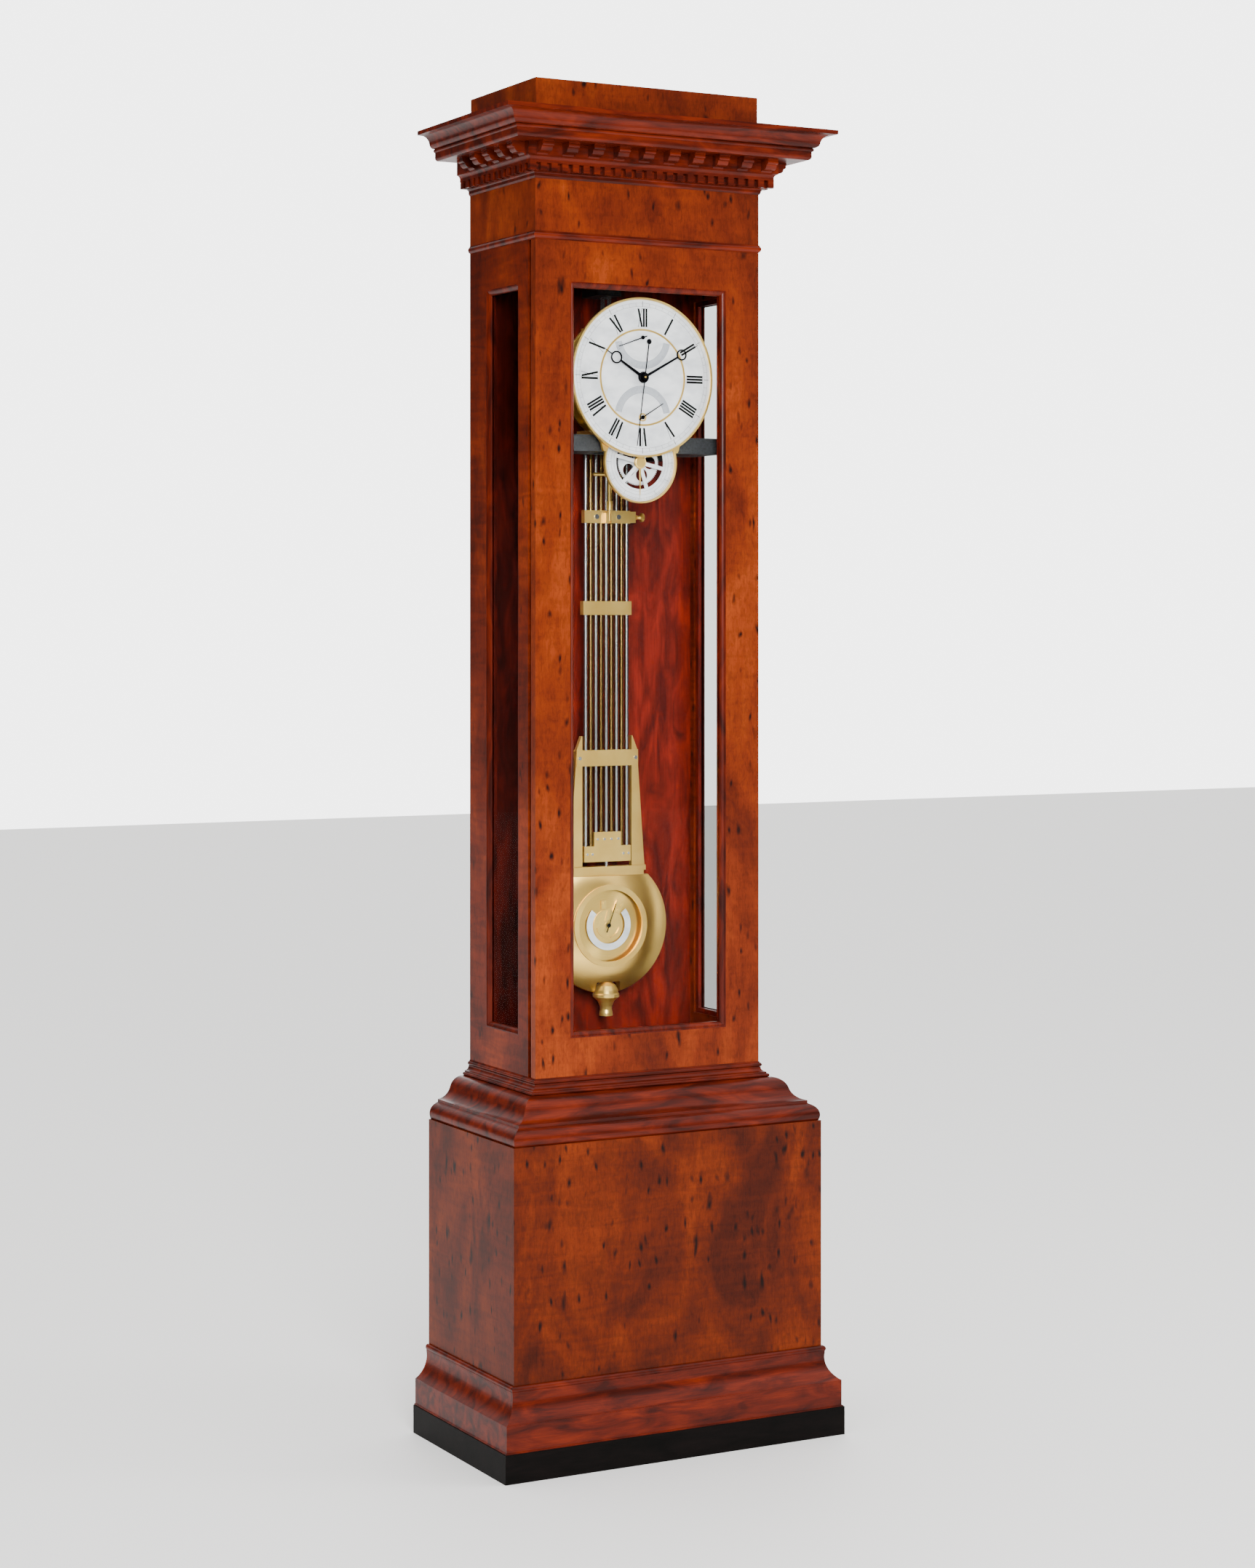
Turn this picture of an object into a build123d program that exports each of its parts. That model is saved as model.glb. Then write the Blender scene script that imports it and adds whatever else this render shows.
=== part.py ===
from build123d import *
import math
import os

# Longcase regulator clock. +Z is up, the front faces -Y, and the origin is the centre of the
# plinth's underside. "Depth" is counted from the flat back of the case towards the front, and
# "reach" is how far a moulding stands out from the trunk's faces. All sizes are millimetres.

# ---- case: driving sizes ----
TRUNK_HALF = 200.7
TRUNK_DEPTH = 235.8
SIDE_WALL = 20.0
DOOR_THICK = 25.0
PLINTH_REACH = 100.2
BASE_REACH = 72.9
BAND_REACH = 96.6
CORNICE_REACH = 92.9
PLINTH_HEIGHT = 44.5
BAND_HEIGHT = 42.0
BASE_MOULD_HEIGHT = 52.8
BASE_HEIGHT = 360.1
WAIST_HEIGHT = 90.0
TRUNK_HEIGHT = 1300.6
NECK_HEIGHT = 12.4
FRIEZE_HEIGHT = 81.6
CORNICE_HEIGHT = 98.0
CAP_HEIGHT = 58.0
BASE_WALL = 22.0
BOARD = 18.0                # back boards, floor and shelf boards
BACK_DEPTH = 24.0           # how far the backboard is let in from the back
BACK_THICK = 24.0
FLAT_GAP = 0.2              # shadow gap round the door
RUN_FIT = 0.05              # radial clearance of a pin in its hole
CLEAR = 0.3                 # clearance between curved faces that pass each other

# ---- levels, counted up from the floor ----
PLINTH_TOP = PLINTH_HEIGHT
BAND_TOP = PLINTH_TOP + BAND_HEIGHT
BASE_BOTTOM = BAND_TOP + BASE_MOULD_HEIGHT
BASE_TOP = BASE_BOTTOM + BASE_HEIGHT
TRUNK_BOTTOM = BASE_TOP + WAIST_HEIGHT
TRUNK_TOP = TRUNK_BOTTOM + TRUNK_HEIGHT
NECK_TOP = TRUNK_TOP + NECK_HEIGHT
FRIEZE_TOP = NECK_TOP + FRIEZE_HEIGHT
CORNICE_TOP = FRIEZE_TOP + CORNICE_HEIGHT
CASE_TOP = CORNICE_TOP + CAP_HEIGHT

# ---- windows ----
LOW_RAIL = 59.2             # height of the door's bottom rail
DIAL_MARGIN = (13.5, 16.0)  # room beside and above the dial in the door's opening
SIDE_WINDOW_DEPTH = (60.0, 177.0)
SIDE_RAILS = (60.6, 64.0)   # height of the side's bottom and top rails
SIGHT = 9.0                 # width of the ovolo moulding round the glass
GLASS_SET = 7.0             # how far the glass lies behind the face
GLASS_THICK = 3.0
BEAD = (8.0, 6.0)           # glazing bead behind the glass: width, thickness
HINGE_PIN_R = 3.0
HINGE_PIN_IN = 10.0

# ---- dial ----
DIAL_DROP = 206.0           # dial centre below the trunk's top
DIAL_DEPTH = 214.0          # depth of the dial's front face
DIAL_R = 126.5
BEZEL_WIDTH = 3.2
ANNUAL_DROP = 134.0         # year ring's centre below the dial's
ANNUAL_R = 65.0
SUB_OFFSET = 63.2           # calendar pivot above and reserve pivot below the centre
PLATE_R = 105.0             # round movement plates, cut flat at the bottom
PLATE_FOOT = 84.0           # flat of the plates below the dial's centre
PLATE_THICK = 4.0
PLATE_GAP = 46.0
FRONT_PLATE_DEPTH = 196.0   # front face of the movement's front plate
BED_DROP = (118.0, 92.0)    # iron bed's underside and top below the dial's centre
BED_DEPTH = (110.0, 195.0)
BED_HALF = 150.0
PALLET_RISE = 32.0
CRUTCH_DEPTH = 101.0

# ---- pendulum ----
SWING_DEPTH = 90.0
FLEX_DROP = 66.0            # spring's flex line below the trunk's top
FLEX_GAP = 0.7              # lets the spring's top corners swing under the cock
PENDULUM_LENGTH = 1018.4    # flex line to the bob's centre
BOB_R = 110.7
BOB_THICK = 30.0
RECESS_DEPTH = 9.0          # thermometer's recess in the bob
SCALE_R = (29.5, 40.0)      # thermometer scale: inner and outer radius
SCALE_GAP = math.radians(50)
ROD_PITCH = 9.4
ROD_R = 3.5
RODS = 9
GRID_DROP = 54.0
CROSS_DROP = 357.3          # flex line to the crossbar that the crutch drives
BOB_FLAT = 80.2             # flat on top of the bob, above its centre
BOB_FOOT = 91.7             # roof of the rating nut's slot, below the bob's centre
ADJUST_R = 7.5

# ---- lock ----
LOCK_RISE = 650.6
LOCK_DEPTH = (180.0, 208.0)
LOCK_HALF = 25.0
LOCK_THICK = 10.0
BOLT_DEPTH = 202.0
BOLT_THROW = 7.0
KEY_DEPTH = 192.0

# ---- worked-out places ----
Y_BACK = (TRUNK_DEPTH + PLINTH_REACH) / 2
Y_FRONT = Y_BACK - TRUNK_DEPTH
Y_DOOR_REAR = Y_FRONT + DOOR_THICK
Y_DIAL = Y_BACK - DIAL_DEPTH
Y_SWING = Y_BACK - SWING_DEPTH
Y_BOARD = Y_BACK - BACK_DEPTH - BACK_THICK
INNER_HALF = TRUNK_HALF - SIDE_WALL
DIAL_Z = TRUNK_TOP - DIAL_DROP
ANNUAL_Z = DIAL_Z - ANNUAL_DROP
PLATE_BOTTOM = DIAL_Z - PLATE_FOOT
BED_Z = (DIAL_Z - BED_DROP[0], DIAL_Z - BED_DROP[1])
PALLET_Z = DIAL_Z + PALLET_RISE
FLEX_Z = TRUNK_TOP - FLEX_DROP
BOB_Z = FLEX_Z - PENDULUM_LENGTH
GRID_TOP = FLEX_Z - GRID_DROP
CROSS_Z = FLEX_Z - CROSS_DROP
LOCK_Z = TRUNK_BOTTOM + LOCK_RISE
GRID_HALF = RODS // 2 * ROD_PITCH + ROD_R
CROSS_HALF = GRID_HALF + 0.7
FRONT_WINDOW = (DIAL_R + DIAL_MARGIN[0], TRUNK_BOTTOM + LOW_RAIL, DIAL_Z + DIAL_R + DIAL_MARGIN[1])
SIDE_WINDOW = (*SIDE_WINDOW_DEPTH, TRUNK_BOTTOM + SIDE_RAILS[0], TRUNK_TOP - SIDE_RAILS[1])


def save(name, solids):
    """Write one node: a list of separate solids under one name."""
    flat = []
    for item in solids:
        flat += item.solids()
    shape = flat[0] if len(flat) == 1 else Compound(children=flat)
    export_step(shape, "parts/" + name + ".step")


def block(x0, x1, y0, y1, z0, z1):
    """A box between two corners."""
    size = (abs(x1 - x0), abs(y1 - y0), abs(z1 - z0))
    return Pos((x0 + x1) / 2, (y0 + y1) / 2, (z0 + z1) / 2) * Box(*size)


def disc_y(radius, y0, y1, x, z, hole=0.0):
    """A cylinder or ring whose axis runs along Y."""
    shape = Cylinder(radius, abs(y1 - y0))
    if hole:
        shape = shape - Cylinder(hole, abs(y1 - y0) + 2)
    return Pos(x, (y0 + y1) / 2, z) * Rot(90, 0, 0) * shape


def disc_x(radius, x0, x1, y, z):
    """A cylinder whose axis runs along X."""
    return Pos((x0 + x1) / 2, y, z) * Rot(0, 90, 0) * Cylinder(radius, abs(x1 - x0))


def disc_z(radius, z0, z1, x, y, hole=0.0):
    """A cylinder or ring whose axis runs along Z."""
    shape = Cylinder(radius, abs(z1 - z0))
    if hole:
        shape = shape - Cylinder(hole, abs(z1 - z0) + 2)
    return Pos(x, y, (z0 + z1) / 2) * shape


def plate_y(points, y0, y1):
    """A flat plate from an outline of (x, z) points, between two depths."""
    wire = Polyline(*[(x, y0, z) for x, z in points], close=True)
    return extrude(make_face(wire), amount=abs(y1 - y0), dir=(0, math.copysign(1, y1 - y0), 0))


def surround(lines, inner):
    """Mitre a moulding round the front and both sides.

    lines holds the profile's edges in (reach, height); inner is the reach of its back face."""
    profile = make_face(Wire(lines))
    far = 140.0
    half, front = TRUNK_HALF, Y_FRONT
    plane = Plane((-half - far, front, 0), x_dir=(0, -1, 0), z_dir=(-1, 0, 0))
    bars = [extrude(plane * profile, amount=2 * (half + far), dir=(1, 0, 0))]
    plans = [[(-half - far, front - far), (half + far, front - far),
              (half + inner, front - inner), (-half - inner, front - inner)]]
    for side in (1, -1):
        plane = Plane((side * half, front - far, 0), x_dir=(side, 0, 0), z_dir=(0, -side, 0))
        bars.append(extrude(plane * profile, amount=Y_BACK - front + far, dir=(0, 1, 0)))
        plans.append([(side * (half + far), front - far), (side * (half + far), Y_BACK),
                      (side * (half + inner), Y_BACK), (side * (half + inner), front - inner)])
    pieces = []
    for bar, plan in zip(bars, plans):
        prism = extrude(make_face(Polyline(*plan, close=True)), amount=CASE_TOP + 20, dir=(0, 0, 1))
        pieces.append(bar & (Pos(0, 0, -10) * prism))
    return pieces


def outline(*steps):
    """Edges through (reach, height) points; a step with a third value bows out by that much."""
    edges = []
    for start, end in zip(steps, steps[1:] + steps[:1]):
        a, b = Vector(*start[:2]), Vector(*end[:2])
        bow = end[2] if len(end) > 2 else 0
        if bow:
            chord = b - a
            side = Vector(-chord.Y, chord.X).normalized()
            edges.append(ThreePointArc(a, (a + b) * 0.5 + side * bow, b))
        else:
            edges.append(Line(a, b))
    return edges


def ring_boards(inner, outer, low, high):
    """Three mitred boards round the front and sides, between two reaches."""
    return surround(outline((inner, high), (outer, high), (outer, low), (inner, low)), inner)


def window(u0, u1, v0, v1, plane):
    """Ovolo moulding, glass and glazing beads of one window: rails and stiles are mitred."""
    low = -GLASS_SET
    lines = [Line((0, low), (0, 0)), Line((0, 0), (2, 0)), Line((2, 0), (2, -1)),
             ThreePointArc((2, -1), (SIGHT - 2.6, -2.9), (SIGHT, low + 1)),
             Line((SIGHT, low + 1), (SIGHT, low)), Line((SIGHT, low), (0, low))]
    profile = make_face(Wire(lines))
    corners = [(u0, v0), (u1, v0), (u1, v1), (u0, v1)]
    inward = [(0, 1), (-1, 0), (0, -1), (1, 0)]
    mould = []
    for i in range(4):
        a, b, n = Vector(*corners[i]), Vector(*corners[(i + 1) % 4]), Vector(*inward[i])
        run = (b - a).normalized()
        edge = Plane(a, x_dir=(n.X, n.Y, 0), z_dir=(n.Y, -n.X, 0))
        bar = extrude(edge * profile, amount=(b - a).length, dir=(run.X, run.Y, 0))
        cut = make_face(Polyline(a, b, b - run * SIGHT + n * SIGHT, a + run * SIGHT + n * SIGHT, close=True))
        mould.append(plane * (bar & (Pos(0, 0, low - 5) * extrude(cut, amount=-low + 10, dir=(0, 0, 1)))))
    glass = plane * block(u0 + CLEAR, u1 - CLEAR, v0 + CLEAR, v1 - CLEAR, low - GLASS_THICK, low)
    back = low - GLASS_THICK
    width, thick = BEAD
    beads = []
    for v in (v0, v1 - width):
        beads.append(plane * block(u0, u1, v, v + width, back - thick, back))
    for u in (u0, u1 - width):
        beads.append(plane * block(u, u + width, v0 + width, v1 - width, back - thick, back))
    return mould, glass, beads


def build_base():
    save("plinth", ring_boards(BASE_REACH - BASE_WALL, PLINTH_REACH, 0, PLINTH_TOP))
    base = outline((BASE_REACH - BASE_WALL, BASE_BOTTOM), (75.4, BASE_BOTTOM), (77.2, BASE_BOTTOM - 8.3, 2.2),
                   (77.2, BASE_BOTTOM - 10.9), (BAND_REACH - 0.5, BAND_TOP, -7.0), (BAND_REACH, BAND_TOP),
                   (BAND_REACH, PLINTH_TOP + 2.5), (BAND_REACH + 2, PLINTH_TOP + 1.5),
                   (BAND_REACH + 2, PLINTH_TOP),
                   (BASE_REACH - BASE_WALL, PLINTH_TOP))
    save("base_moulding", surround(base, BASE_REACH - BASE_WALL))
    save("base_panels", ring_boards(BASE_REACH - BASE_WALL, BASE_REACH, BASE_BOTTOM, BASE_TOP))
    half = TRUNK_HALF + BASE_REACH - BASE_WALL
    front = Y_FRONT - BASE_REACH + BASE_WALL
    waist_half = TRUNK_HALF - DOOR_THICK
    backs = [block(-half, half, Y_BACK - BOARD, Y_BACK, 0, BASE_TOP),
             block(-waist_half, waist_half, Y_BACK - BOARD, Y_BACK, BASE_TOP, TRUNK_BOTTOM - BOARD)]
    inner = [block(-half, half, front, Y_BACK - BOARD, BAND_TOP - 16.5, BAND_TOP - 16.5 + BOARD),
             block(-half, half, front, Y_BACK - BOARD, BASE_TOP - BOARD, BASE_TOP)]
    top = TRUNK_BOTTOM
    waist = outline((-DOOR_THICK, top), (0.8, top), (1.4, top - 2), (1.4, top - 8.2, 2.6),
                    (2.4, top - 8.5), (9.3, top - 16.2, -2.2), (9.3, top - 18.5), (10.6, top - 18.8),
                    (10.6, top - 23.8, 2.3), (13.4, top - 24), (35.2, top - 39.9, 4.6),
                    (57.1, BASE_TOP + 31, -4.6), (57.1, BASE_TOP + 26.6), (63.0, BASE_TOP + 23.6),
                    (69.4, BASE_TOP, 5.2), (-DOOR_THICK, BASE_TOP))
    ring = surround(waist, -DOOR_THICK)
    pin_x = -(TRUNK_HALF - DOOR_THICK / 2)
    pin_y = Y_DOOR_REAR - DOOR_THICK / 2
    seat = disc_z(HINGE_PIN_R, TRUNK_BOTTOM - HINGE_PIN_IN, TRUNK_BOTTOM, pin_x, pin_y)
    ring = [ring[0] - seat, ring[1], ring[2] - seat]
    save("waist_moulding", ring)
    inner.append(block(-INNER_HALF + 5, INNER_HALF - 5, Y_DOOR_REAR, Y_BACK, TRUNK_BOTTOM - BOARD, TRUNK_BOTTOM))
    return backs, inner


def build_trunk():
    rear, front, low, high = SIDE_WINDOW
    stile_front = TRUNK_DEPTH - DOOR_THICK - FLAT_GAP
    glasses, beads, moulds = [], [], []
    for side, name in ((-1, "left"), (1, "right")):
        x0, x1 = side * INNER_HALF, side * TRUNK_HALF
        y = [Y_BACK - d for d in (0, rear, front, stile_front)]
        lock = []
        if side == 1:
            lock = [block(x0, x0 + LOCK_THICK, Y_BACK - LOCK_DEPTH[0], Y_BACK - LOCK_DEPTH[1],
                          LOCK_Z - LOCK_HALF, LOCK_Z + LOCK_HALF),
                    disc_x(2.0, x0, x1, Y_BACK - KEY_DEPTH, LOCK_Z)]
        stile = block(x0, x1, y[2], y[3], TRUNK_BOTTOM, TRUNK_TOP)
        for cut in lock:
            stile -= cut
        boards = [block(x0, x1, y[0], y[1], TRUNK_BOTTOM, TRUNK_TOP), stile]
        boards += [block(x0, x1, y[1], y[2], TRUNK_BOTTOM, low), block(x0, x1, y[1], y[2], high, TRUNK_TOP)]
        save("side_frame_" + name, boards)
        if side == -1:
            plane = Plane((x1, Y_BACK, 0), x_dir=(0, -1, 0), z_dir=(-1, 0, 0))
            parts = window(rear, front, low, high, plane)
        else:
            plane = Plane((x1, Y_BACK, 0), x_dir=(0, 1, 0), z_dir=(1, 0, 0))
            parts = window(-front, -rear, low, high, plane)
        moulds += parts[0]
        glasses.append(parts[1])
        beads += parts[2]
    save("side_mouldings", moulds)
    save("side_glass", glasses)
    save("side_beads", beads)
    save("back_board", [block(-INNER_HALF, INNER_HALF, Y_BOARD, Y_BOARD + BACK_THICK, TRUNK_BOTTOM, TRUNK_TOP)])


def build_hood():
    neck = outline((-DOOR_THICK, NECK_TOP), (1.2, NECK_TOP), (1.2, NECK_TOP - 1.4), (1.2, TRUNK_TOP + 1.6, 2.2),
                   (0, TRUNK_TOP + 1), (0, TRUNK_TOP), (-DOOR_THICK, TRUNK_TOP))
    ring = surround(neck, -DOOR_THICK)
    pin_x = -(TRUNK_HALF - DOOR_THICK / 2)
    pin_y = Y_DOOR_REAR - DOOR_THICK / 2
    seat = disc_z(HINGE_PIN_R, TRUNK_TOP, TRUNK_TOP + HINGE_PIN_IN, pin_x, pin_y)
    ring = [ring[0] - seat, ring[1], ring[2] - seat]
    save("neck_bead", ring)
    inner = [block(-INNER_HALF + 5, INNER_HALF - 5, Y_DOOR_REAR, Y_BACK, TRUNK_TOP, NECK_TOP)]
    save("frieze", ring_boards(-SIDE_WALL, 0, NECK_TOP, FRIEZE_TOP))
    backs = [block(-INNER_HALF, INNER_HALF, Y_BACK - BOARD, Y_BACK, NECK_TOP, CORNICE_TOP)]
    top, low = CORNICE_TOP, FRIEZE_TOP
    wall, soffit, bed = 23.4, low + 52.2, low + 31.7
    dent_low, dent_high, dent_in, dent_out = low + 9.6, low + 21.4, 9.5, 18.0
    cornice = outline((-SIDE_WALL, top), (CORNICE_REACH, top), (CORNICE_REACH, top - 6.4),
                      (CORNICE_REACH - 9.9, top - 7.2), (72.2, top - 18.8, -2.4), (65.4, top - 26.8, 1.8),
                      (62.4, top - 26.8), (62.4, top - 32.8, 2.4), (62.0, top - 32.8),
                      (62.0, soffit + 6.8), (58.4, soffit, 1.4), (wall, soffit), (wall, bed),
                      (dent_out, dent_high + 1.6, -2.2), (dent_out, dent_high), (dent_in, dent_high),
                      (dent_in, dent_low), (2.6, dent_low - 2.2, -1.2), (2.6, low + 3), (0.8, low),
                      (-SIDE_WALL, low))
    save("cornice", surround(cornice, -SIDE_WALL))
    blocks = []
    width, count = 10.6, 24
    span = TRUNK_HALF + dent_out - width / 2
    pitch = 2 * span / (count - 1)
    side_count = 1 + int((TRUNK_DEPTH + dent_out - width) / pitch)
    for i in range(count):
        x = -span + i * pitch
        blocks.append(block(x - width / 2, x + width / 2, Y_FRONT - dent_out, Y_FRONT - dent_in,
                            dent_low, dent_high))
    for side in (-1, 1):
        for i in range(1, side_count):
            y = Y_FRONT - dent_out + width / 2 + i * pitch
            blocks.append(block(side * (TRUNK_HALF + dent_in), side * (TRUNK_HALF + dent_out),
                                y - width / 2, y + width / 2, dent_low, dent_high))
    save("dentils", blocks)
    lines = outline((wall, soffit), (46.0, soffit), (46.0, soffit - 3), (44.6, soffit - 3),
                    (44.6, soffit - 8.2, 0.8), (41.0, soffit - 9.4), (31.5, bed + 3.8, 2.6),
                    (wall, bed + 1, -1.4))
    profile = make_face(Wire(lines))
    wide, count = 19.0, 10
    span = TRUNK_HALF + wall - 1
    pitch = 2 * span / count
    side_count = int((TRUNK_DEPTH + wall) / pitch)
    brackets = []
    for i in range(count):
        plane = Plane((-span + (i + 0.5) * pitch - wide / 2, Y_FRONT, 0), x_dir=(0, -1, 0), z_dir=(-1, 0, 0))
        brackets.append(extrude(plane * profile, amount=wide, dir=(1, 0, 0)))
    for side in (-1, 1):
        for i in range(side_count):
            start = Y_FRONT - wall + (i + 0.5) * pitch - wide / 2
            plane = Plane((side * TRUNK_HALF, start, 0), x_dir=(side, 0, 0), z_dir=(0, -side, 0))
            brackets.append(extrude(plane * profile, amount=wide, dir=(0, 1, 0)))
    save("modillions", brackets)
    inset = 1.7
    save("cap_frame", ring_boards(-SIDE_WALL - inset, -inset, CORNICE_TOP, CASE_TOP))
    half = INNER_HALF - inset
    backs.append(block(-half, half, Y_BACK - BOARD, Y_BACK, CORNICE_TOP, CASE_TOP))
    inner.append(block(-half, half, Y_FRONT + SIDE_WALL + inset, Y_BACK - BOARD, CASE_TOP - 12, CASE_TOP))
    return backs, inner


def build_door():
    half, low, high = FRONT_WINDOW
    bottom, top = TRUNK_BOTTOM + FLAT_GAP, TRUNK_TOP - FLAT_GAP
    rear, front = Y_DOOR_REAR, Y_FRONT
    r = DOOR_THICK / 2
    pin_x, pin_y = -(TRUNK_HALF - r), rear - r
    left = block(-TRUNK_HALF, -half, front, rear, bottom, top)
    corner = block(-TRUNK_HALF - 1, pin_x, pin_y, rear + 1, bottom, top) - disc_z(r, bottom, top, pin_x, pin_y)
    left -= corner
    hole = HINGE_PIN_R + RUN_FIT
    left -= disc_z(hole, bottom, bottom + HINGE_PIN_IN + 1, pin_x, pin_y)
    left -= disc_z(hole, top - HINGE_PIN_IN - 1, top, pin_x, pin_y)
    right = block(half, TRUNK_HALF, front, rear, bottom, top)
    save("door_stiles", [left, right])
    save("door_rails", [block(-half, half, front, rear, bottom, low), block(-half, half, front, rear, high, top)])
    plane = Plane((0, front, 0), x_dir=(1, 0, 0), z_dir=(0, -1, 0))
    mould, glass, beads = window(-half, half, low, high, plane)
    save("door_moulding", mould)
    save("door_glass", [glass])
    save("door_beads", beads)
    pins = [disc_z(HINGE_PIN_R, TRUNK_BOTTOM - HINGE_PIN_IN, TRUNK_BOTTOM + HINGE_PIN_IN, pin_x, pin_y),
            disc_z(HINGE_PIN_R, TRUNK_TOP - HINGE_PIN_IN, TRUNK_TOP + HINGE_PIN_IN, pin_x, pin_y)]
    save("hinge_pins", pins)


def build_lock():
    x0 = INNER_HALF
    y0, y1 = Y_BACK - LOCK_DEPTH[0], Y_BACK - LOCK_DEPTH[1]
    y_bolt = Y_BACK - BOLT_DEPTH
    key = disc_x(2.0, x0, x0 + 40, Y_BACK - KEY_DEPTH, LOCK_Z)
    case = block(x0, x0 + LOCK_THICK, y0, y1, LOCK_Z - LOCK_HALF, LOCK_Z + LOCK_HALF)
    case -= block(x0 - 1, x0 + LOCK_THICK - 1, y_bolt - 2.1, y_bolt + 2.1, LOCK_Z - 4.1, LOCK_Z + 4.1)
    case -= key
    plate = disc_x(7.0, TRUNK_HALF, TRUNK_HALF + 1.2, Y_BACK - KEY_DEPTH, LOCK_Z) + disc_x(
        5.0, TRUNK_HALF, TRUNK_HALF + 1.2, Y_BACK - KEY_DEPTH, LOCK_Z - 9)
    slot = block(TRUNK_HALF - 1, TRUNK_HALF + 2, Y_BACK - KEY_DEPTH - 0.8, Y_BACK - KEY_DEPTH + 0.8,
                 LOCK_Z - 7, LOCK_Z)
    save("lock", [case, plate - key - slot])
    save("lock_bolt", [block(x0 + 0.2, x0 + 8.8, y_bolt - 2, y_bolt + 2, LOCK_Z - 4, LOCK_Z + 4)])
    staple = block(x0 - 9, x0 - 3, Y_DOOR_REAR, y_bolt + 5.5, LOCK_Z - 9, LOCK_Z + 9)
    staple -= block(x0 - 10, x0 - 2, y_bolt - 3, y_bolt + 3, LOCK_Z - 5, LOCK_Z + 5)
    save("lock_staple", [staple])


def gear(teeth, module, y0, y1, x, z, phase=0.0, bore=0.0):
    """A toothed wheel on a Y axis: thin straight-flanked teeth that leave working backlash."""
    pitch_r = teeth * module / 2
    root, tip = pitch_r - 0.95 * module, pitch_r + 0.7 * module
    step = 2 * math.pi / teeth
    points = []
    for i in range(teeth):
        mid = phase + i * step
        for radius, turn in ((root, -0.22), (tip, -0.11), (tip, 0.11), (root, 0.22)):
            angle = mid + turn * step
            points.append((x + radius * math.cos(angle), z + radius * math.sin(angle)))
    wheel = plate_y(points, y0, y1)
    if pitch_r > 14:
        for i in range(5):
            angle = 2 * math.pi * i / 5
            ring = (root + 7) / 2
            wheel -= disc_y((root - 8) * 0.38, min(y0, y1) - 1, max(y0, y1) + 1,
                            x + ring * math.cos(angle), z + ring * math.sin(angle))
    if bore:
        wheel -= disc_y(bore, min(y0, y1) - 1, max(y0, y1) + 1, x, z)
    return wheel


def at(depth):
    """Y of a depth counted from the case's back."""
    return Y_BACK - depth


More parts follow.
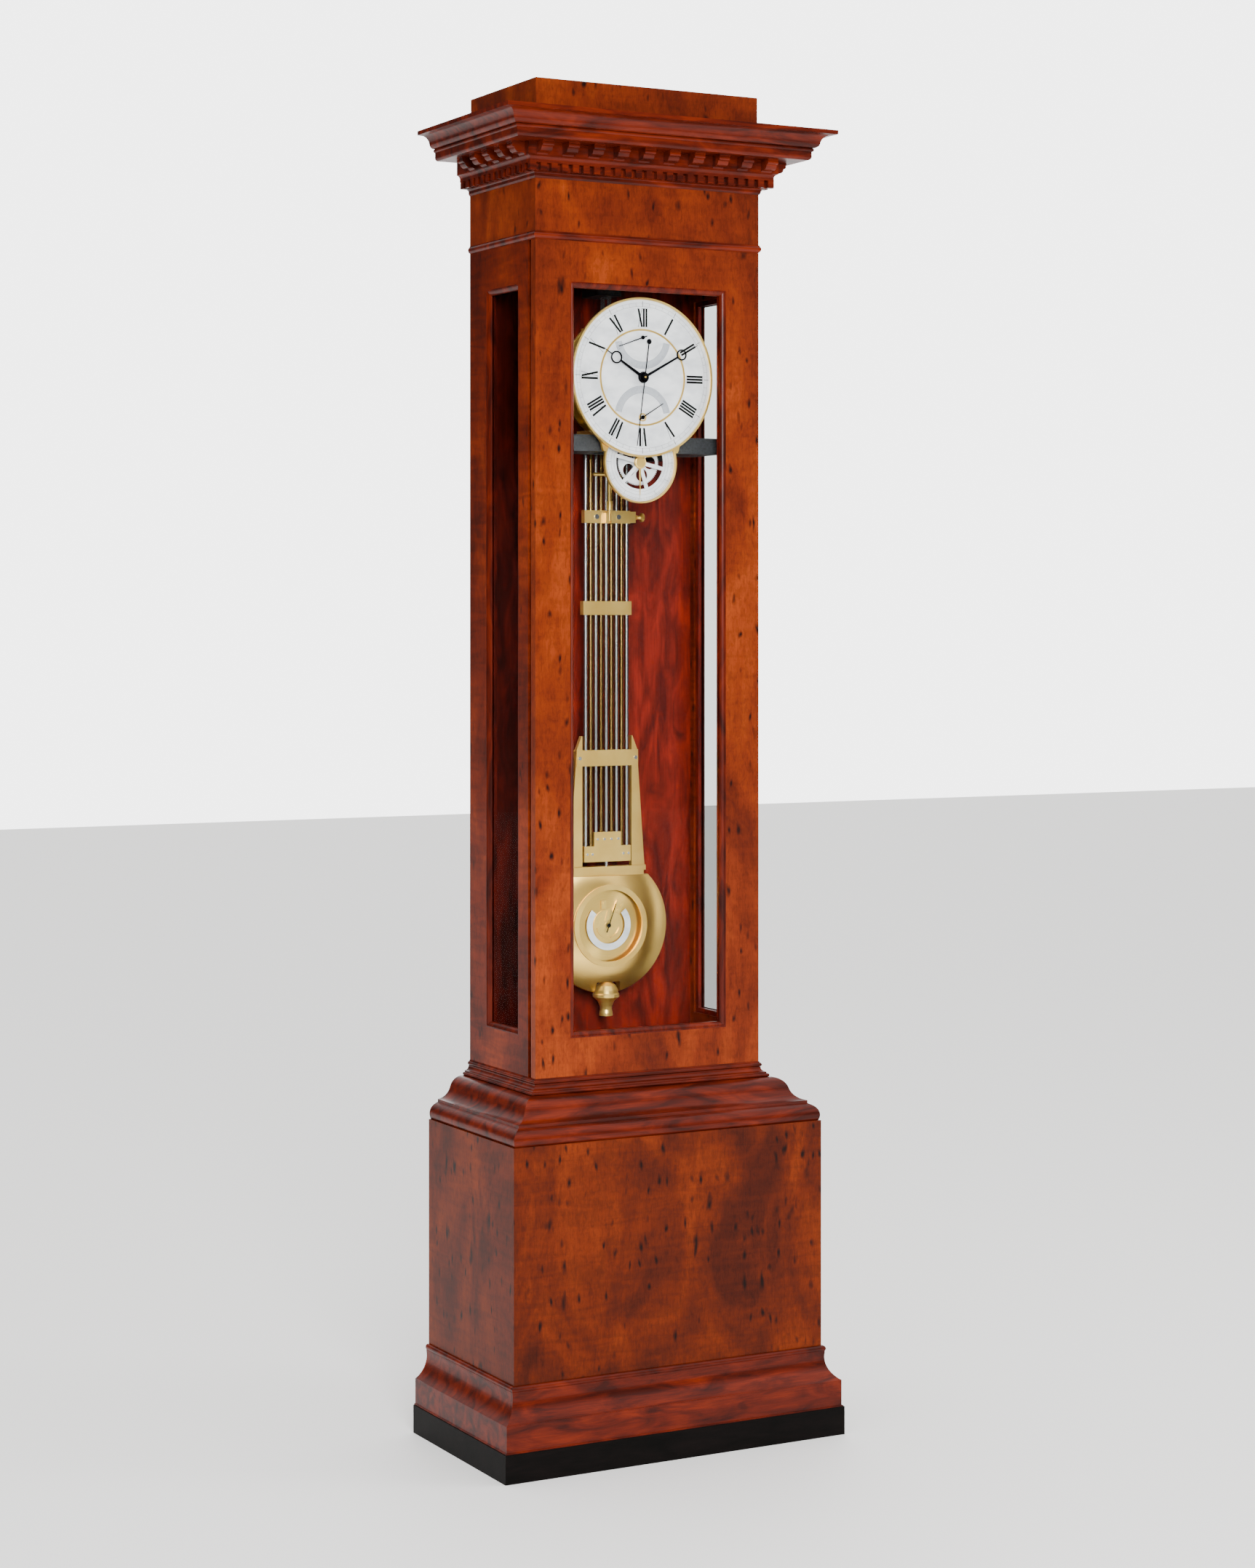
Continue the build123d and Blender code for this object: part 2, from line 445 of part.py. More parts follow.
def build_movement():
    arbor, pipe, hour_pipe = 1.5, 3.0, 4.4
    third_x, barrel_x = 30.0, -54.0
    stud_z = DIAL_Z - 24.0
    rear_face = FRONT_PLATE_DEPTH - 2 * PLATE_THICK - PLATE_GAP
    spots = [(0, DIAL_Z), (third_x, DIAL_Z), (barrel_x, DIAL_Z), (0, PALLET_Z),
             (0, DIAL_Z + SUB_OFFSET), (0, DIAL_Z - SUB_OFFSET), (0, stud_z)]
    pillar_spots = [(sx * 66, DIAL_Z + sz * 66) for sx in (-1, 1) for sz in (-1, 1)]
    plates = []
    for low, is_front in ((rear_face, False), (FRONT_PLATE_DEPTH - PLATE_THICK, True)):
        y0, y1 = at(low), at(low + PLATE_THICK)
        plate = disc_y(PLATE_R, y0, y1, 0, DIAL_Z)
        plate -= block(-PLATE_R, PLATE_R, y1 - 1, y0 + 1, DIAL_Z - PLATE_R - 1, PLATE_BOTTOM)
        radii = [arbor, 2.0, 4.0, 2.0, 1.5, 1.5, None]
        if is_front:
            radii[0], radii[3], radii[6] = pipe, 2.0, arbor
        for (x, z), radius in zip(spots, radii):
            if radius is None or (not is_front and z in (DIAL_Z + SUB_OFFSET, DIAL_Z - SUB_OFFSET)):
                continue
            fit = 0 if (is_front and z == stud_z) else RUN_FIT
            plate -= disc_y(radius + fit, y1 - 1, y0 + 1, x, z)
        plates.append(plate)
    feet = [block(sx * 62, sx * 78, at(rear_face - 4), at(FRONT_PLATE_DEPTH), BED_Z[1], PLATE_BOTTOM)
            for sx in (-1, 1)]
    save("movement_plates", plates)
    pillars = [disc_y(5.0, at(rear_face + PLATE_THICK), at(FRONT_PLATE_DEPTH - PLATE_THICK), x, z)
               for x, z in pillar_spots]
    stud = disc_y(arbor, at(FRONT_PLATE_DEPTH - PLATE_THICK), at(208), 0, stud_z)
    save("movement_pillars", pillars + feet + [stud])

    bed = block(-BED_HALF, BED_HALF, at(BED_DEPTH[0]), at(BED_DEPTH[1]), *BED_Z)
    bed -= block(-55, 55, at(BED_DEPTH[0] + 22), at(BED_DEPTH[1] - 22), BED_Z[0] - 1, BED_Z[1] + 1)
    arms = [block(sx * 84, sx * 108, at(BACK_DEPTH + BACK_THICK), at(BED_DEPTH[0]), BED_Z[0] - 6, BED_Z[1])
            for sx in (-1, 1)]
    cock = block(-22, 22, at(BACK_DEPTH + BACK_THICK), at(SWING_DEPTH + 12), FLEX_Z, FLEX_Z + 26)
    hanger = block(-9, 9, at(186), at(194), ANNUAL_Z - 9, BED_Z[0])
    hanger -= disc_y(2.0, at(180), at(200), 0, ANNUAL_Z)
    save("iron_bracket", [bed, cock, hanger] + arms)

    drum_top = rear_face + 22
    drum = disc_y(34, at(rear_face + 6), at(drum_top), barrel_x, DIAL_Z)
    drum -= disc_y(31, at(rear_face + 8), at(drum_top - 2), barrel_x, DIAL_Z)
    great = gear(96, 1.0, at(drum_top), at(drum_top + 3), barrel_x, DIAL_Z)
    shaft = disc_y(4.0, at(rear_face), at(FRONT_PLATE_DEPTH), barrel_x, DIAL_Z)
    hole = disc_y(4.0, at(rear_face), at(FRONT_PLATE_DEPTH + 1), barrel_x, DIAL_Z)
    save("barrel", [drum - hole, great - hole, shaft])

    centre_pinion = gear(12, 1.0, at(drum_top - 2), at(drum_top + 6), 0, DIAL_Z, phase=math.pi / 12)
    centre_wheel = gear(60, 30 / 34, at(drum_top + 12), at(drum_top + 14), 0, DIAL_Z, bore=pipe)
    tube = disc_y(pipe, at(drum_top - 4), at(221.6), 0, DIAL_Z, hole=arbor + RUN_FIT)
    cannon = gear(12, 1.0, at(FRONT_PLATE_DEPTH + 2), at(FRONT_PLATE_DEPTH + 5), 0, DIAL_Z,
                  phase=math.pi / 2, bore=pipe)
    save("centre_wheel", [(centre_pinion - disc_y(pipe, at(100), at(250), 0, DIAL_Z)), centre_wheel, tube, cannon])

    third_rod = disc_y(2.0, at(rear_face), at(FRONT_PLATE_DEPTH), third_x, DIAL_Z)
    third = gear(64, 30 / 36, at(rear_face + 12), at(rear_face + 14), third_x, DIAL_Z, bore=2.0)
    third_pinion = gear(8, 30 / 34, at(drum_top + 9), at(drum_top + 17), third_x, DIAL_Z,
                        phase=math.pi / 8, bore=2.0)
    save("third_wheel", [third_rod, third, third_pinion])

    escape_rod = disc_y(arbor, at(rear_face), at(224.4), 0, DIAL_Z)
    escape_pinion = gear(8, 30 / 36, at(rear_face + 10), at(rear_face + 16), 0, DIAL_Z,
                         phase=math.pi / 8, bore=arbor)
    points = []
    for i in range(30):
        angle = 2 * math.pi * i / 30
        for radius, turn in ((15.5, 0.0), (18.5, 0.02), (18.5, 0.035), (15.2, 0.11)):
            points.append((radius * math.sin(angle + turn), DIAL_Z + radius * math.cos(angle + turn)))
    escape = plate_y(points, at(rear_face + 6), at(rear_face + 8)) - disc_y(arbor, at(100), at(250), 0, DIAL_Z)
    save("escape_wheel", [escape_rod, escape_pinion, escape])

    motion = gear(36, 1.0, at(FRONT_PLATE_DEPTH + 2.5), at(FRONT_PLATE_DEPTH + 4.5), 0, stud_z,
                  phase=math.pi / 2 + math.pi / 36, bore=arbor + RUN_FIT)
    motion_pinion = gear(10, 0.96, at(FRONT_PLATE_DEPTH + 5.5), at(FRONT_PLATE_DEPTH + 11), 0, stud_z,
                         phase=math.pi / 2, bore=arbor + RUN_FIT)
    collar = disc_y(3.2, at(FRONT_PLATE_DEPTH + 4.5), at(FRONT_PLATE_DEPTH + 5.5), 0, stud_z,
                    hole=arbor + RUN_FIT)
    save("motion_wheel", [motion, motion_pinion, collar])
    hour_tube = disc_y(hour_pipe, at(FRONT_PLATE_DEPTH + 6), at(218.6), 0, DIAL_Z, hole=pipe + RUN_FIT)
    hour = gear(40, 0.96, at(FRONT_PLATE_DEPTH + 7), at(FRONT_PLATE_DEPTH + 9), 0, DIAL_Z,
                phase=math.pi / 2 + math.pi / 40, bore=hour_pipe)
    save("hour_wheel", [hour_tube, hour])


def hand(length, ring_r, ring_at, width, tail, angle, y0, thick, hub_r, bore, x=0.0, z=DIAL_Z):
    """A blued hand: boss, tapered blade, open ring and pointed tip, then turned clockwise by angle."""
    y1 = y0 - thick
    shape = disc_y(hub_r, y0, y1, 0, 0)
    end = ring_at if ring_r else length
    shape += plate_y([(-width, -tail), (width, -tail), (width * 0.62, end), (-width * 0.62, end)], y0, y1)
    if ring_r:
        shape += disc_y(ring_r, y0, y1, 0, ring_at)
        shape += plate_y([(-1.1, ring_at), (1.1, ring_at), (0.35, length), (-0.35, length)], y0, y1)
        shape -= disc_y(ring_r - 2.2, y1 - 1, y0 + 1, 0, ring_at)
    shape -= disc_y(bore, y1 - 1, y0 + 1, 0, 0)
    return Pos(x, 0, z) * Rot(0, angle, 0) * shape


def build_dial():
    y0 = Y_DIAL
    plate = disc_y(DIAL_R - BEZEL_WIDTH, y0, y0 + 2, 0, DIAL_Z)
    plate -= disc_y(5.0, y0 - 1, y0 + 3, 0, DIAL_Z)
    for dz in (SUB_OFFSET, -SUB_OFFSET):
        plate -= disc_y(1.5 + RUN_FIT, y0 - 1, y0 + 3, 0, DIAL_Z + dz)
    save("dial_plate", [plate])
    inner = DIAL_R - BEZEL_WIDTH
    bezel = disc_y(DIAL_R, y0 - 2.2, y0 + 3, 0, DIAL_Z, hole=inner)
    ring = disc_y(77.0, y0 - 0.6, y0, 0, DIAL_Z, hole=74.0)
    annual = disc_y(ANNUAL_R, at(203), at(208.8), 0, ANNUAL_Z, hole=ANNUAL_R - 2.6)
    ears = []
    for side in (-1, 1):
        points = [(side * x, ANNUAL_Z + z) for x, z in ((92, 47.5), (82, 52), (54, 38), (54, 16), (66.5, 16),
                                             (68.5, 20), (71, 30), (79, 40))]
        ears.append(plate_y(points, at(203), at(208.8)))
    band = disc_y(ANNUAL_R, at(200), at(210), 0, ANNUAL_Z)
    ears = [(ear - band).solids().sort_by(Axis.Z)[-1] for ear in ears]
    collar = disc_y(6.7, y0 - 0.8, y0, 0, DIAL_Z - SUB_OFFSET, hole=4.4)
    save("dial_bezels", [bezel, ring, annual, collar] + ears)
    feet = [disc_y(3.0, at(FRONT_PLATE_DEPTH), at(DIAL_DEPTH - 2), sx * 66, DIAL_Z + sz * 42)
            for sx in (-1, 1) for sz in (-1, 1)]
    legs = [block(sx * 60, sx * 64, at(FRONT_PLATE_DEPTH), at(203), ANNUAL_Z + 20, ANNUAL_Z + 62) for sx in (-1, 1)]
    save("dial_feet", feet + legs)

    save("hour_hand", [hand(81, 10, 56.7, 2.6, 6, 302, at(216), 1.2, 9.0, 4.4)])
    save("minute_hand", [hand(112, 9, 77.7, 2.2, 6, 60.7, at(219), 1.2, 8.0, 3.0)])
    second = hand(110, 0, 0, 0.9, 55, 187.4, at(222), 0.8, 4.0, 1.5)
    weight = Pos(0, 0, DIAL_Z) * Rot(0, 187.4, 0) * disc_y(4.2, at(222), at(222.8), 0, -57)
    save("seconds_hand", [second + weight])
    for name, dz, length, angle in (("calendar_hand", SUB_OFFSET, 45.6, 250),
                                    ("reserve_hand", -SUB_OFFSET, 43.4, 58)):
        blade = hand(length, 0, 0, 0.9, 8, angle, at(215), 0.7, 3.2, 1.5, z=DIAL_Z + dz)
        rod = disc_y(1.5, at(FRONT_PLATE_DEPTH - PLATE_THICK), at(215.7), 0, DIAL_Z + dz)
        save(name, [blade, rod])

    ring = disc_y(62.0, at(203), at(204.6), 0, ANNUAL_Z, hole=42.5)
    for i in range(6):
        spoke = block(-3, 3, at(203), at(204.6), 5, 44)
        ring += Pos(0, 0, ANNUAL_Z) * Rot(0, 43 + 60 * i, 0) * spoke
    ring += disc_y(8.0, at(203), at(204.6), 0, ANNUAL_Z)
    ring -= disc_y(2.0 + RUN_FIT, at(200), at(210), 0, ANNUAL_Z)
    wheel = gear(72, 1.0, at(197), at(199), 0, ANNUAL_Z, bore=2.0 + RUN_FIT)
    sleeve = disc_y(5.0, at(199), at(203), 0, ANNUAL_Z, hole=2.0 + RUN_FIT)
    save("annual_ring", [ring, wheel, sleeve])
    stud = disc_y(2.0, at(186), at(206.6), 0, ANNUAL_Z)
    boss = disc_y(10.5, at(205), at(208.6), 0, ANNUAL_Z) - stud
    boss = fillet(boss.edges().filter_by(GeomType.CIRCLE).group_by(Axis.Y)[0].sort_by(SortBy.LENGTH)[-1:], 2.6)
    needle = plate_y([(-1.6, ANNUAL_Z - 9), (1.6, ANNUAL_Z - 9), (0.4, ANNUAL_Z - 52), (-0.4, ANNUAL_Z - 52)],
                     at(205.2), at(206.2))
    save("annual_pointer", [boss, needle - disc_y(10.5, at(200), at(210), 0, ANNUAL_Z), stud])


def build_crutch():
    rod_r = 2.4
    y0, y1 = at(CRUTCH_DEPTH - 3), at(CRUTCH_DEPTH + 3)
    wheel_y = FRONT_PLATE_DEPTH - 2 * PLATE_THICK - PLATE_GAP + 6
    arbor = disc_y(2.0, y0, at(FRONT_PLATE_DEPTH), 0, PALLET_Z)
    anchor = plate_y([(-5, PALLET_Z + 4), (5, PALLET_Z + 4), (19, PALLET_Z - 12), (18.5, PALLET_Z - 20),
                      (15.5, PALLET_Z - 14), (3, PALLET_Z - 5), (-3, PALLET_Z - 5), (-15.5, PALLET_Z - 14),
                      (-18.5, PALLET_Z - 20), (-19, PALLET_Z - 12)], at(wheel_y), at(wheel_y + 2))
    anchor -= disc_y(2.0, at(wheel_y - 1), at(wheel_y + 3), 0, PALLET_Z)
    boss = disc_y(6.0, y0, y1, 0, PALLET_Z, hole=2.0)
    rod = disc_z(rod_r, CROSS_Z + 25, PALLET_Z - 5.9, 0, at(CRUTCH_DEPTH))
    rod -= disc_y(6.0, y0 + 1, y1 - 1, 0, PALLET_Z)
    ferrule = disc_z(5.0, CROSS_Z + 11, CROSS_Z + 25, 0, at(CRUTCH_DEPTH + 1.5))
    pin = disc_z(1.5, CROSS_Z - 7, CROSS_Z + 11, 0, at(CRUTCH_DEPTH + 1.5))
    arm = disc_x(2.6, -28, -9, at(CRUTCH_DEPTH), CROSS_Z + 68.3)
    head = disc_y(4.6, y0, y1, -5.5, CROSS_Z + 69.8) - disc_z(rod_r, CROSS_Z, PALLET_Z, 0, at(CRUTCH_DEPTH))
    save("crutch", [arbor, anchor, boss, rod, ferrule + pin, head + arm])


def build_scale(floor):
    """Open silvered scale of the thermometer, with its gap at the top."""
    inner, outer = SCALE_R
    scale = disc_y(outer, floor - 2.5, floor - 4, 0, BOB_Z, hole=inner)
    far = 2 * outer
    gap = plate_y([(0, BOB_Z), (-far * math.sin(SCALE_GAP), BOB_Z + far * math.cos(SCALE_GAP)),
                   (far * math.sin(SCALE_GAP), BOB_Z + far * math.cos(SCALE_GAP))], floor - 5, floor)
    return scale - gap


def build_thermometer(floor):
    """Brass works in the bob's recess: plate, posts, bimetal strips, cock, bridge and their screws."""
    inner, outer = SCALE_R
    plate = disc_y(inner - 3, floor, floor - 1.2, 0, BOB_Z)
    hub = disc_y(6.0, floor - 1.2, floor - 2.0, 0, BOB_Z)
    middle_r = (inner + outer) / 2
    posts = [disc_y(2.5, floor, floor - 2.5, middle_r * math.cos(a), BOB_Z + middle_r * math.sin(a))
             for a in (math.pi / 12, 11 * math.pi / 12, 3 * math.pi / 2)]
    strips = []
    for side in (1, -1):
        ring = disc_y(inner - 8, floor - 1.2, floor - 3.2, 0, BOB_Z, hole=inner - 10)
        ring -= block(-inner, inner, floor - 5, floor, BOB_Z - 4, BOB_Z + inner)
        ring -= block(-side * inner, side * 4, floor - 5, floor, BOB_Z - inner, BOB_Z + inner)
        strips.append(ring)
    cock = plate_y([(-6, BOB_Z + 8), (6, BOB_Z + 8), (1.6, BOB_Z + 24), (-1.6, BOB_Z + 24)],
                   floor - 1.2, floor - 2.6)
    bridge = plate_y([(8, BOB_Z + 23), (20, BOB_Z + 18), (28, BOB_Z + 34), (16, BOB_Z + 40)], floor, floor - 3.0)
    foot = plate_y([(-13, BOB_Z + 27), (-4, BOB_Z + 27), (-4, BOB_Z + 40), (-13, BOB_Z + 40)], floor, floor - 3.0)
    heads = [disc_y(1.9, floor - 3.0, floor - 4.2, x, BOB_Z + z) for x, z in ((17, 24), (24, 31), (-8.5, 36))]
    heads += [disc_y(1.2, floor - 1.2, floor - 2.2, x, BOB_Z + z)
              for x, z in ((-14, 6), (-16, -3), (14, 6), (15, -4), (-12, 14), (0, -17))]
    bridge -= plate
    return [plate, hub, cock, bridge, foot] + posts + strips + heads


def build_pendulum():
    y = Y_SWING
    spring = [block(sx * 6 - 4, sx * 6 + 4, y - 0.25, y + 0.25, FLEX_Z - 26, FLEX_Z - FLEX_GAP)
              for sx in (-1, 1)]
    hook = block(-13, 13, y - 5, y + 5, GRID_TOP, FLEX_Z - 26)
    save("suspension", spring + [hook])
    middle = RODS // 2
    low_bar = (BOB_Z + 103, BOB_Z + 128.4)
    small_bar = (low_bar[1], low_bar[1] + 22.6)
    steel, brass, cutters = [], [], []
    for i in range(RODS):
        x = (i - middle) * ROD_PITCH
        if i == middle:
            low = BOB_Z - BOB_R - 30
        else:
            low = small_bar[0] + 3 if abs(i - middle) <= 2 else low_bar[0] + 3
        rod = disc_z(ROD_R, low, GRID_TOP - 4, x, y)
        (brass if i % 2 else steel).append(rod)
        cutters.append(rod)
    save("steel_rods", steel)
    save("brass_rods", brass)
    top_half, small_half = GRID_HALF + 0.9, 2 * ROD_PITCH + ROD_R + 2.1
    bars = [block(-top_half, top_half, y - 6, y + 6, GRID_TOP - 20, GRID_TOP),
            block(-CROSS_HALF, CROSS_HALF, y - 5.5, y + 5.5, CROSS_Z - 10.2, CROSS_Z + 10.2),
            block(-top_half - 2, top_half + 2, y - 5.5, y + 5.5, CROSS_Z - 158.7, CROSS_Z - 136.7),
            block(-top_half - 0.6, top_half + 0.6, y - 6, y + 6, *low_bar),
            block(-small_half, small_half, y - 6, y + 6, *small_bar)]
    cut_bars = []
    for bar in bars:
        for rod in cutters:
            bar -= rod
        cut_bars.append(bar)
    cheeks = [block(sx * 2, sx * 7, y - 5.5, y - 14, CROSS_Z - 10, CROSS_Z + 6) for sx in (-1, 1)]
    adjuster = block(CROSS_HALF, CROSS_HALF + 10.2, y - 5.5, y + 5.5, CROSS_Z - 9, CROSS_Z + 9)
    adjuster -= disc_x(2.5 + RUN_FIT, CROSS_HALF + 1.2, CROSS_HALF + 11.2, y, CROSS_Z)
    save("crossbars", cut_bars + cheeks + [adjuster])
    stem = Polyline((0, 0), (2.5, 0), (2.5, 9), (4.5, 10), (3, 14), (4, 18), (ADJUST_R, 20.5),
                    (ADJUST_R - 0.5, 24), (4, 25.4), (0, 25.4), close=True)
    knob = revolve(Plane.XZ * make_face(stem), Axis.Z)
    save("beat_knob", [Pos(CROSS_HALF + 2.2, y, CROSS_Z) * Rot(0, 90, 0) * knob])

    screws = []
    for x, z, r, face in ([(sx * 20, CROSS_Z, 4.0, 5.5) for sx in (-1, 1)]
                          + [(sx * 51, BOB_Z + 270.8, 3.0, 6.0) for sx in (-1, 1)]
                          + [(x, small_bar[0] + 11.3, 2.0, 6.0) for x in (-18.8, -6.3, 6.3, 18.8)]
                          + [(x, low_bar[0] + 12.7, 2.0, 6.0) for x in (-37.6, -28.2, 28.2, 37.6)]):
        screws.append(disc_y(r, y - face, y - face - 1.6, x, z))
    save("pendulum_screws", screws)

    cage = []
    ledge_top = BOB_FLAT + 15.2
    inside = ROD_R + 0.5
    cage_half = GRID_HALF + 27.9
    for side in (-1, 1):
        points = [(side * (GRID_HALF + x), BOB_Z + z)
                  for x, z in ((3.9, 306.4), (5.4, 306.4), (14.9, 282.4), (15.9, 258.4), (26.5, 109.4),
                               (27.9, ledge_top), (3.9, ledge_top))]
        cage.append(plate_y(points, y - inside, y + inside))
    band = [block(13 - cage_half, cage_half - 13, *sorted((y + s * inside, y + s * (inside + 2))), BOB_Z + 258, BOB_Z + 283.7)
            for s in (-1, 1)]
    ledge = block(-cage_half, cage_half, y - 8, y + 8, BOB_Z + BOB_FLAT + 7.2, BOB_Z + ledge_top)
    ledge += block(3 - cage_half, cage_half - 3, y - 7, y + 7, BOB_Z + BOB_FLAT, BOB_Z + BOB_FLAT + 7.2)
    ledge -= cutters[middle]
    save("pendulum_cage", cage + band + [ledge])

    half = BOB_THICK / 2
    recess = 62.0
    section = [Line((0, -half + 1), (recess, -half + 1)),
               Spline((recess, -half + 1), (88, -half + 4), (BOB_R - 1, -3)),
               ThreePointArc((BOB_R - 1, -3), (BOB_R, 0), (BOB_R - 1, 3)),
               Spline((BOB_R - 1, 3), (88, half - 4), (66.5, half)), Line((66.5, half), (recess, half)),
               Line((recess, half), (recess, half - RECESS_DEPTH)),
               Line((recess, half - RECESS_DEPTH), (0, half - RECESS_DEPTH)),
               Line((0, half - RECESS_DEPTH), (0, -half + 1))]
    face = make_face(Wire(section))
    bob = revolve(Plane.XZ * face, Axis.Z)
    bob = Pos(0, y, BOB_Z) * Rot(90, 0, 0) * bob
    bob -= block(-BOB_R, BOB_R, y - 30, y + 30, BOB_Z + BOB_FLAT, BOB_Z + BOB_R + 5)
    bob -= disc_z(23.0, BOB_Z - BOB_R - 20, BOB_Z - BOB_FOOT, 0, y)
    bob -= disc_z(ROD_R, BOB_Z - BOB_R - 40, BOB_Z + BOB_R + 40, 0, y)
    save("bob", [bob])
    front = y - half
    bezel = disc_y(66.5, front, front - 3, 0, BOB_Z, hole=58.0)
    save("thermometer_bezel", [bezel] + build_thermometer(front + RECESS_DEPTH))
    save("thermometer_glass", [disc_y(recess - CLEAR, front + 2.5, front + 0.5, 0, BOB_Z)])
    floor = front + RECESS_DEPTH
    save("thermometer_scale", [build_scale(floor)])
    needle = hand(37, 0, 0, 0.9, 12, 20, floor - 4.6, 0.7, 3.4, 1.2, z=BOB_Z)
    pivot = disc_y(1.2, floor - 2.0, floor - 5.3, 0, BOB_Z)
    save("thermometer_needle", [needle, pivot])

    bore = ROD_R + RUN_FIT
    nut = Polyline((bore, -50.6), (bore, 0), (9, 0), (16, -5.6), (19.5, -12.6), (20, -17.6), (21.8, -19.6),
                   (21.8, -24.1), (18.5, -26.6), (13.5, -31.6), (10, -39.6), (9.6, -44.6), (11, -50.1),
                   (11, -54.6), (bore + 0.45, -54.6), (bore + 0.45, -50.6), close=True)
    nut = revolve(Plane.XZ * make_face(nut), Axis.Z)
    save("rating_nut", [Pos(0, y, BOB_Z - BOB_FOOT - CLEAR) * nut])


def main():
    os.makedirs("parts", exist_ok=True)
    base_backs, base_inner = build_base()
    build_trunk()
    hood_backs, hood_inner = build_hood()
    save("case_backs", base_backs + hood_backs)
    save("inner_boards", base_inner + hood_inner)
    build_door()
    build_lock()
    build_movement()
    build_crutch()
    build_dial()
    build_pendulum()


main()
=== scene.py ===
# %% [markdown]
# A glazed longcase regulator clock, about 2.14 m tall: a veneered case with turned-out mouldings, a
# silvered dial and a nine-rod pendulum. The solid parts come from the imported model and stay as they are.
# This file gives each of them its finish, and adds what a maker would engrave or ink by hand.

# %% Load the imported clock and keep its box
import math
import bpy
import bmesh
from mathutils import Matrix, Vector


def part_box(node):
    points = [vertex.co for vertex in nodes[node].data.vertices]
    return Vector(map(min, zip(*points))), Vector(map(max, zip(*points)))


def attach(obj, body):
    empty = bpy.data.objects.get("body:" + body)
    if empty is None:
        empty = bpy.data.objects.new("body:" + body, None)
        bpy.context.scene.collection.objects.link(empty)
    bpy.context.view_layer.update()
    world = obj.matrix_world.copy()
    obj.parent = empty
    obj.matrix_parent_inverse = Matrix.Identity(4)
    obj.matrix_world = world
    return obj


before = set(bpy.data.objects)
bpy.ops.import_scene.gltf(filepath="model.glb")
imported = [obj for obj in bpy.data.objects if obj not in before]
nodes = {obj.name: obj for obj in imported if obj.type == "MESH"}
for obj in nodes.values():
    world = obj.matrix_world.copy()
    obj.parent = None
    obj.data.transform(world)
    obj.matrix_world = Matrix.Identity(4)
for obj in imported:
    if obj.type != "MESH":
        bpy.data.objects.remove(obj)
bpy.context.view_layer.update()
MM = 0.001
scene = bpy.context.scene
print("CAD nodes:", len(nodes))


# %% [markdown]
# Every place is worked out from the parts themselves. The dial's centre is the middle of its plate, and
# its front is the face with the lowest Y, because the clock looks along -Y.

# %% Read the reference places from the parts
def middle(node):
    low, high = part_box(node)
    return (low + high) / 2


dial_low, dial_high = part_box("dial_plate")
DIAL = middle("dial_plate")
DIAL_FRONT = dial_low.y
DIAL_R = (dial_high.x - dial_low.x) / 2
ANNUAL = middle("annual_ring")
ANNUAL_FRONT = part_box("annual_ring")[0].y
BOB = Vector((0, middle("thermometer_bezel").y, middle("thermometer_bezel").z))
CASE_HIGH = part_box("plinth")[1]
print("dial centre", [round(v, 4) for v in DIAL], "radius", round(DIAL_R, 4))


# %% [markdown]
# Colours are written as the hex values that an artist would pick, and one function turns them into the
# linear numbers that the renderer works in. A second small function adds a shader node with its settings
# and its links, which keeps each material below short enough to read as a recipe.

# %% Colour and node helpers
def linear(hex_colour):
    channels = [int(hex_colour[i:i + 2], 16) / 255 for i in (1, 3, 5)]
    return tuple(c / 12.92 if c <= 0.04045 else ((c + 0.055) / 1.055) ** 2.4 for c in channels) + (1.0,)


def add(tree, kind, links=None, **settings):
    """Add one node; settings name its properties or inputs, links map inputs to other outputs."""
    node = tree.nodes.new(kind)
    for name, value in settings.items():
        if hasattr(node, name):
            setattr(node, name, value)
        else:
            node.inputs[name.replace("_", " ")].default_value = value
    for name, source in (links or {}).items():
        tree.links.new(source, node.inputs[name])
    return node


def new_material(name):
    material = bpy.data.materials.new(name)
    material.use_nodes = True
    tree = material.node_tree
    tree.nodes.clear()
    shader = add(tree, "ShaderNodeBsdfPrincipled")
    output = add(tree, "ShaderNodeOutputMaterial", {"Surface": shader.outputs[0]})
    return material, tree, shader, output


def ramp(tree, source, stops):
    node = add(tree, "ShaderNodeValToRGB", {"Fac": source})
    while len(node.color_ramp.elements) < len(stops):
        node.color_ramp.elements.new(0.5)
    for element, (place, colour) in zip(node.color_ramp.elements, stops):
        element.position = place
        element.color = linear(colour) if isinstance(colour, str) else (colour, colour, colour, 1)
    return node


def mapped(tree, scale, turn=(0, 0, 0), shift=(0, 0, 0)):
    """Object coordinates in metres, scaled so that one unit is one feature of the pattern."""
    place = add(tree, "ShaderNodeTexCoord")
    node = add(tree, "ShaderNodeMapping", {"Vector": place.outputs["Object"]})
    node.inputs["Scale"].default_value = scale
    node.inputs["Rotation"].default_value = turn
    node.inputs["Location"].default_value = shift
    return node.outputs[0]


def mix(tree, factor, a, b, mode="MIX"):
    node = add(tree, "ShaderNodeMix", data_type="RGBA", blend_type=mode)
    for socket, value in ((node.inputs[0], factor), (node.inputs[6], a), (node.inputs[7], b)):
        if isinstance(value, bpy.types.NodeSocket):
            tree.links.new(value, socket)
        elif isinstance(value, str):
            socket.default_value = linear(value)
        else:
            socket.default_value = value
    return node.outputs[2]


